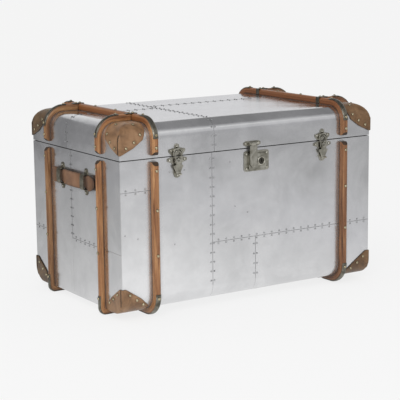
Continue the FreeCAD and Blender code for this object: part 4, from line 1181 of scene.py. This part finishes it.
def body_seam_seats():
    seats = []

    def front(x, z, side=-1, radius=RIVET_RADIUS):
        seats.append((Vector((x, side * HALF_DEPTH, z)), Vector((0, side, 0)), radius))

    def end(y, z, side=-1):
        seats.append((Vector((side * HALF_LENGTH, y, z)), Vector((side, 0, 0)), RIVET_RADIUS))

    inner = steps(-END_BATTEN_Y + BATTEN_GAP, END_SEAM_Y - SEAM_GAP)
    outer = steps(END_BATTEN_Y + BATTEN_GAP, HALF_DEPTH - WIDE_EDGE_GAP)
    for offset in (-RIVET_SIDE, RIVET_SIDE):
        for z in steps(BODY_TURN, BODY_HIGH - EDGE_GAP):
            front(FRONT_SEAM_X + offset, z)
            front(FRONT_SEAM_X + offset, z, 1)
        for x in steps(FRONT_SEAM_X + CLOSE_SEAM_GAP, HALF_LENGTH - EDGE_GAP):
            front(x, WAIST + offset)
        for z in steps(BODY_TURN, WAIST - SEAM_GAP):
            front(LOWER_SEAM_X + offset, z)
        for x in steps(-HALF_LENGTH + CLOSE_EDGE_GAP, -HOOP_X - BATTEN_GAP):
            front(x, PATCH + offset)
        for side in (-1, 1):
            for z in steps(WAIST, BODY_HIGH - EDGE_GAP):
                end(END_SEAM_Y + offset, z, side)
            for y in [*inner, *outer]:
                end(y, WAIST + offset, side)
    for x, z in FRONT_NAILS:
        front(x, z, radius=NAIL_RADIUS)
    return seats


def lid_seam_seats():
    seats = []

    def rivet(place, way):
        seats.append((Vector(place), Vector(way), RIVET_RADIUS))

    for offset in (-RIVET_SIDE, RIVET_SIDE):
        for run in steps(WIDE_EDGE_GAP, LID_ARC + HALF_DEPTH - ROLL):
            (y, z), (ny, nz) = over_lid(run, HALF_DEPTH)
            for side in (1, -1):
                rivet((LID_SEAM_X + offset, side * y, z), (0, side * ny, nz))
        for x in steps(LID_SEAM_X + SEAM_GAP, HALF_LENGTH - ROLL):
            rivet((x, LID_LONG_SEAM_Y + offset, LID_TOP), (0, 0, 1))
        for run in steps(WIDE_EDGE_GAP, LID_ARC + HALF_LENGTH - ROLL + LID_SEAM_X - CLOSE_SEAM_GAP):
            (x, z), (nx, nz) = over_lid(run, HALF_LENGTH)
            rivet((x, LID_END_SEAM_Y + offset, z), (nx, 0, nz))
    return seats


def seam_strip(start, width, thickness, across, ways):
    """Dark line of a seam: a thin strip drawn out straight by a vector, or bent by a spin, for each way."""
    strip = section_block(start, width, thickness, across)
    for way in ways:
        if len(way) == 3:
            draw_out(way)
        else:
            bend(*way)
    done()
    outward(strip)
    return strip


def flat_strip(low, high):
    """Straight strip between two corners."""
    bpy.ops.object.select_all(action="DESELECT")
    bpy.ops.mesh.primitive_cube_add(size=1, location=[(a + b) / 2 for a, b in zip(low, high)])
    strip = bpy.context.object
    strip.scale = [abs(b - a) for a, b in zip(low, high)]
    bpy.ops.object.transform_apply(location=True, rotation=True, scale=True)
    return strip


def body_seam_lines():
    near, far = -HALF_DEPTH - PROUD, -HALF_DEPTH + PROUD
    half = LINE / 2
    strips = [
        flat_strip((FRONT_SEAM_X - half, near, BODY_TURN), (FRONT_SEAM_X + half, far, BODY_HIGH)),
        flat_strip((FRONT_SEAM_X - half, -far, BODY_TURN), (FRONT_SEAM_X + half, -near, BODY_HIGH)),
        flat_strip((FRONT_SEAM_X, near, WAIST - half), (HALF_LENGTH, far, WAIST + half)),
        flat_strip((LOWER_SEAM_X - half, near, BODY_TURN), (LOWER_SEAM_X + half, far, WAIST)),
        flat_strip((-HALF_LENGTH, near, PATCH - half), (-HOOP_X, far, PATCH + half)),
    ]
    for side in (-1, 1):
        near_x, far_x = side * (HALF_LENGTH + PROUD), side * (HALF_LENGTH - PROUD)
        strips += [
            flat_strip((near_x, END_SEAM_Y - half, WAIST), (far_x, END_SEAM_Y + half, BODY_HIGH)),
            flat_strip((near_x, -END_BATTEN_Y, WAIST - half), (far_x, END_SEAM_Y, WAIST + half)),
            flat_strip((near_x, END_BATTEN_Y, WAIST - half), (far_x, HALF_DEPTH, WAIST + half)),
        ]
    return strips


def lid_seam_lines():
    flat_y, flat_x = HALF_DEPTH - ROLL, HALF_LENGTH - ROLL
    wall = LID_TURN - LID_LOW
    across = seam_strip((LID_SEAM_X, -HALF_DEPTH, LID_LOW), LINE, 2 * PROUD, 0, [
        (0, 0, wall), ((LID_SEAM_X, -flat_y, LID_TURN), (1, 0, 0), 90, 12),
        (0, 2 * flat_y, 0), ((LID_SEAM_X, flat_y, LID_TURN), (1, 0, 0), 90, 12), (0, 0, -wall),
    ])
    over_end = seam_strip((-HALF_LENGTH, LID_END_SEAM_Y, LID_LOW), LINE, 2 * PROUD, 1, [
        (0, 0, wall), ((-flat_x, LID_END_SEAM_Y, LID_TURN), (0, 1, 0), -90, 12), (flat_x + LID_SEAM_X, 0, 0),
    ])
    along = flat_strip(
        (LID_SEAM_X, LID_LONG_SEAM_Y - LINE / 2, LID_TOP - PROUD),
        (flat_x, LID_LONG_SEAM_Y + LINE / 2, LID_TOP + PROUD))
    return [across, over_end, along]


# Dark lines along the seams: the joints' oxide, and painted shadow of the overlapping sheet edges
oxide_and_shadow = worn_metal(
    "seam grime", (0.22, 0.22, 0.222), (0.36, 0.36, 0.365), (0.52, 0.52, 0.53), 0.45, 70.0, 0.2)
for body, strips in (("lid", lid_seam_lines()), ("body", body_seam_lines())):
    line = join(strips, body + "_seam_lines")
    line.data.materials.clear()
    line.data.materials.append(oxide_and_shadow)
    fit(line, body, "aluminium_sheet")

seam_head = dome_head(8, 6, 0.5)
seam_look = worn_metal(
    "seam rivet", (0.32, 0.32, 0.325), (0.52, 0.525, 0.535), (0.76, 0.77, 0.785), 0.32, 90.0, 0.45)
for body, seats in (("lid", lid_seam_seats()), ("body", body_seam_seats())):
    fit(set_heads(seam_head, seats, body + "_seam_rivets", seam_look), body, "aluminium_sheet")
for spare in (stud_head, seam_head):
    bpy.data.objects.remove(spare)


# Studio

def light(name, place, aim, width, height, power):
    data = bpy.data.lights.new(name, "AREA")
    data.shape = "RECTANGLE"
    data.size, data.size_y = width, height
    data.energy = power
    lamp = bpy.data.objects.new(name, data)
    bpy.context.collection.objects.link(lamp)
    lamp.location = place
    lamp.rotation_mode = "QUATERNION"
    lamp.rotation_quaternion = (Vector(aim) - Vector(place)).to_track_quat("-Z", "Y")


def card(name, place, aim, width, height, grey):
    """Board out of the picture that the metal mirrors."""
    bpy.ops.object.select_all(action="DESELECT")
    bpy.ops.mesh.primitive_plane_add(size=1, location=place)
    board = bpy.context.object
    board.name = name
    board.scale = (width, height, 1)
    board.rotation_mode = "QUATERNION"
    board.rotation_quaternion = (Vector(aim) - Vector(place)).to_track_quat("Z", "Y")
    material = bpy.data.materials.new(name)
    material.use_nodes = True
    tree = material.node_tree
    glow = add(tree, "Emission", {"Color": (grey, grey, grey * 1.02, 1)})
    tree.links.new(glow.outputs[0], tree.nodes["Material Output"].inputs["Surface"])
    board.data.materials.append(material)
    board.visible_camera = False
    board.visible_diffuse = False
    board.visible_shadow = False


def light_pool(tree):
    """Floor's brightness as the metal mirrors it: palest near the trunk, dimmer far off and leftwards."""
    place = add(tree, "TexCoord").outputs["Object"]
    spot = stretched(tree, place, (1.5, 0.7, 1), (0.9, 0.35, 0))
    off = add(tree, "VectorMath", {0: spot}, operation="LENGTH").outputs["Value"]
    pool = ramp(tree, spread(tree, off, 0.0, 1.0, 0.0, 5.0), [
        (0.14, (1.0, 1.0, 1.0)), (0.22, (0.82, 0.82, 0.82)), (0.30, (0.72, 0.72, 0.722)),
        (0.37, (0.71, 0.71, 0.715)), (0.39, (0.655, 0.655, 0.668)), (0.47, (0.65, 0.65, 0.668)),
        (0.55, (0.59, 0.59, 0.60)), (0.66, (0.50, 0.50, 0.505)), (0.80, (0.40, 0.40, 0.40)),
    ])
    sideways = add(tree, "VectorMath", {0: place, 1: (-0.53, 0.83, 0)}, operation="DOT_PRODUCT")
    dimmer = spread(tree, sideways.outputs["Value"], 1.0, 0.58, -0.3, 0.6)
    dim_grey = add(tree, "CombineColor", {0: dimmer, 1: dimmer, 2: dimmer}).outputs[0]
    return mix(tree, 1.0, pool, dim_grey, "MULTIPLY")


def studio_floor():
    bpy.ops.object.select_all(action="DESELECT")
    bpy.ops.mesh.primitive_plane_add(size=120)
    floor = bpy.context.object
    floor.name = "floor"
    material, tree, shader = recipe("floor paper")
    shader.inputs["Base Color"].default_value = (0.9, 0.9, 0.9, 1)
    shader.inputs["Roughness"].default_value = 1.0
    rays = add(tree, "LightPath").outputs
    seen = add(tree, "Emission", {"Color": (0.935, 0.935, 0.935, 1)}).outputs[0]
    mirrored = add(tree, "Emission", {"Color": light_pool(tree)}).outputs[0]
    by_camera = maths(tree, "MULTIPLY", rays["Is Camera Ray"], 0.85)
    by_metal = maths(tree, "MULTIPLY", rays["Is Glossy Ray"], 0.9)
    plain = add(tree, "MixShader", {0: by_camera, 1: shader.outputs[0], 2: seen}).outputs[0]
    both = add(tree, "MixShader", {0: by_metal, 1: plain, 2: mirrored}).outputs[0]
    tree.links.new(both, tree.nodes["Material Output"].inputs["Surface"])
    floor.data.materials.append(material)


scene = bpy.context.scene
scene.view_settings.view_transform = "Standard"
world = bpy.data.worlds.new("studio")
scene.world = world
world.use_nodes = True
world.node_tree.nodes["Background"].inputs["Color"].default_value = (1, 1, 1, 1)
world.node_tree.nodes["Background"].inputs["Strength"].default_value = 0.82
studio_floor()
light("key softbox", (-2.5, -3.0, 3.2), (0, 0, 0.3), 2.5, 2.5, 60)
card("grey ceiling", (1.0, 1.0, 3.0), (1.0, 1.01, 0), 6.2, 5.6, 0.26)
card("pale ceiling", (1.0, 1.0, 3.05), (1.0, 1.01, 0), 8.0, 7.4, 0.48)
card("white board behind", (2.2, 3.9, 0.75), (0, 0, 0.55), 8.0, 1.7, 0.72)
card("grey board at the left", (-1.9, 2.2, 1.0), (-0.45, 0, 0.5), 4.0, 2.0, 0.25)
card("pale board in front", (1.9, -2.9, 1.85), (0, -0.3, 0.6), 4.5, 1.0, 0.62)
card("grey board in front", (2.0, -3.0, 0.70), (0, -0.3, 0.6), 4.5, 1.4, 0.46)

# Camera, as it was fitted to the box's corners in the photograph
camera_data = bpy.data.cameras.new("camera")
camera_data.lens = 119.2
camera_data.sensor_width = 36
camera = bpy.data.objects.new("camera", camera_data)
bpy.context.collection.objects.link(camera)
camera.location = (-2.2271, -3.4716, 1.0421)
camera.rotation_euler = (math.radians(79.34), math.radians(0.645), math.radians(-32.70))
scene.camera = camera
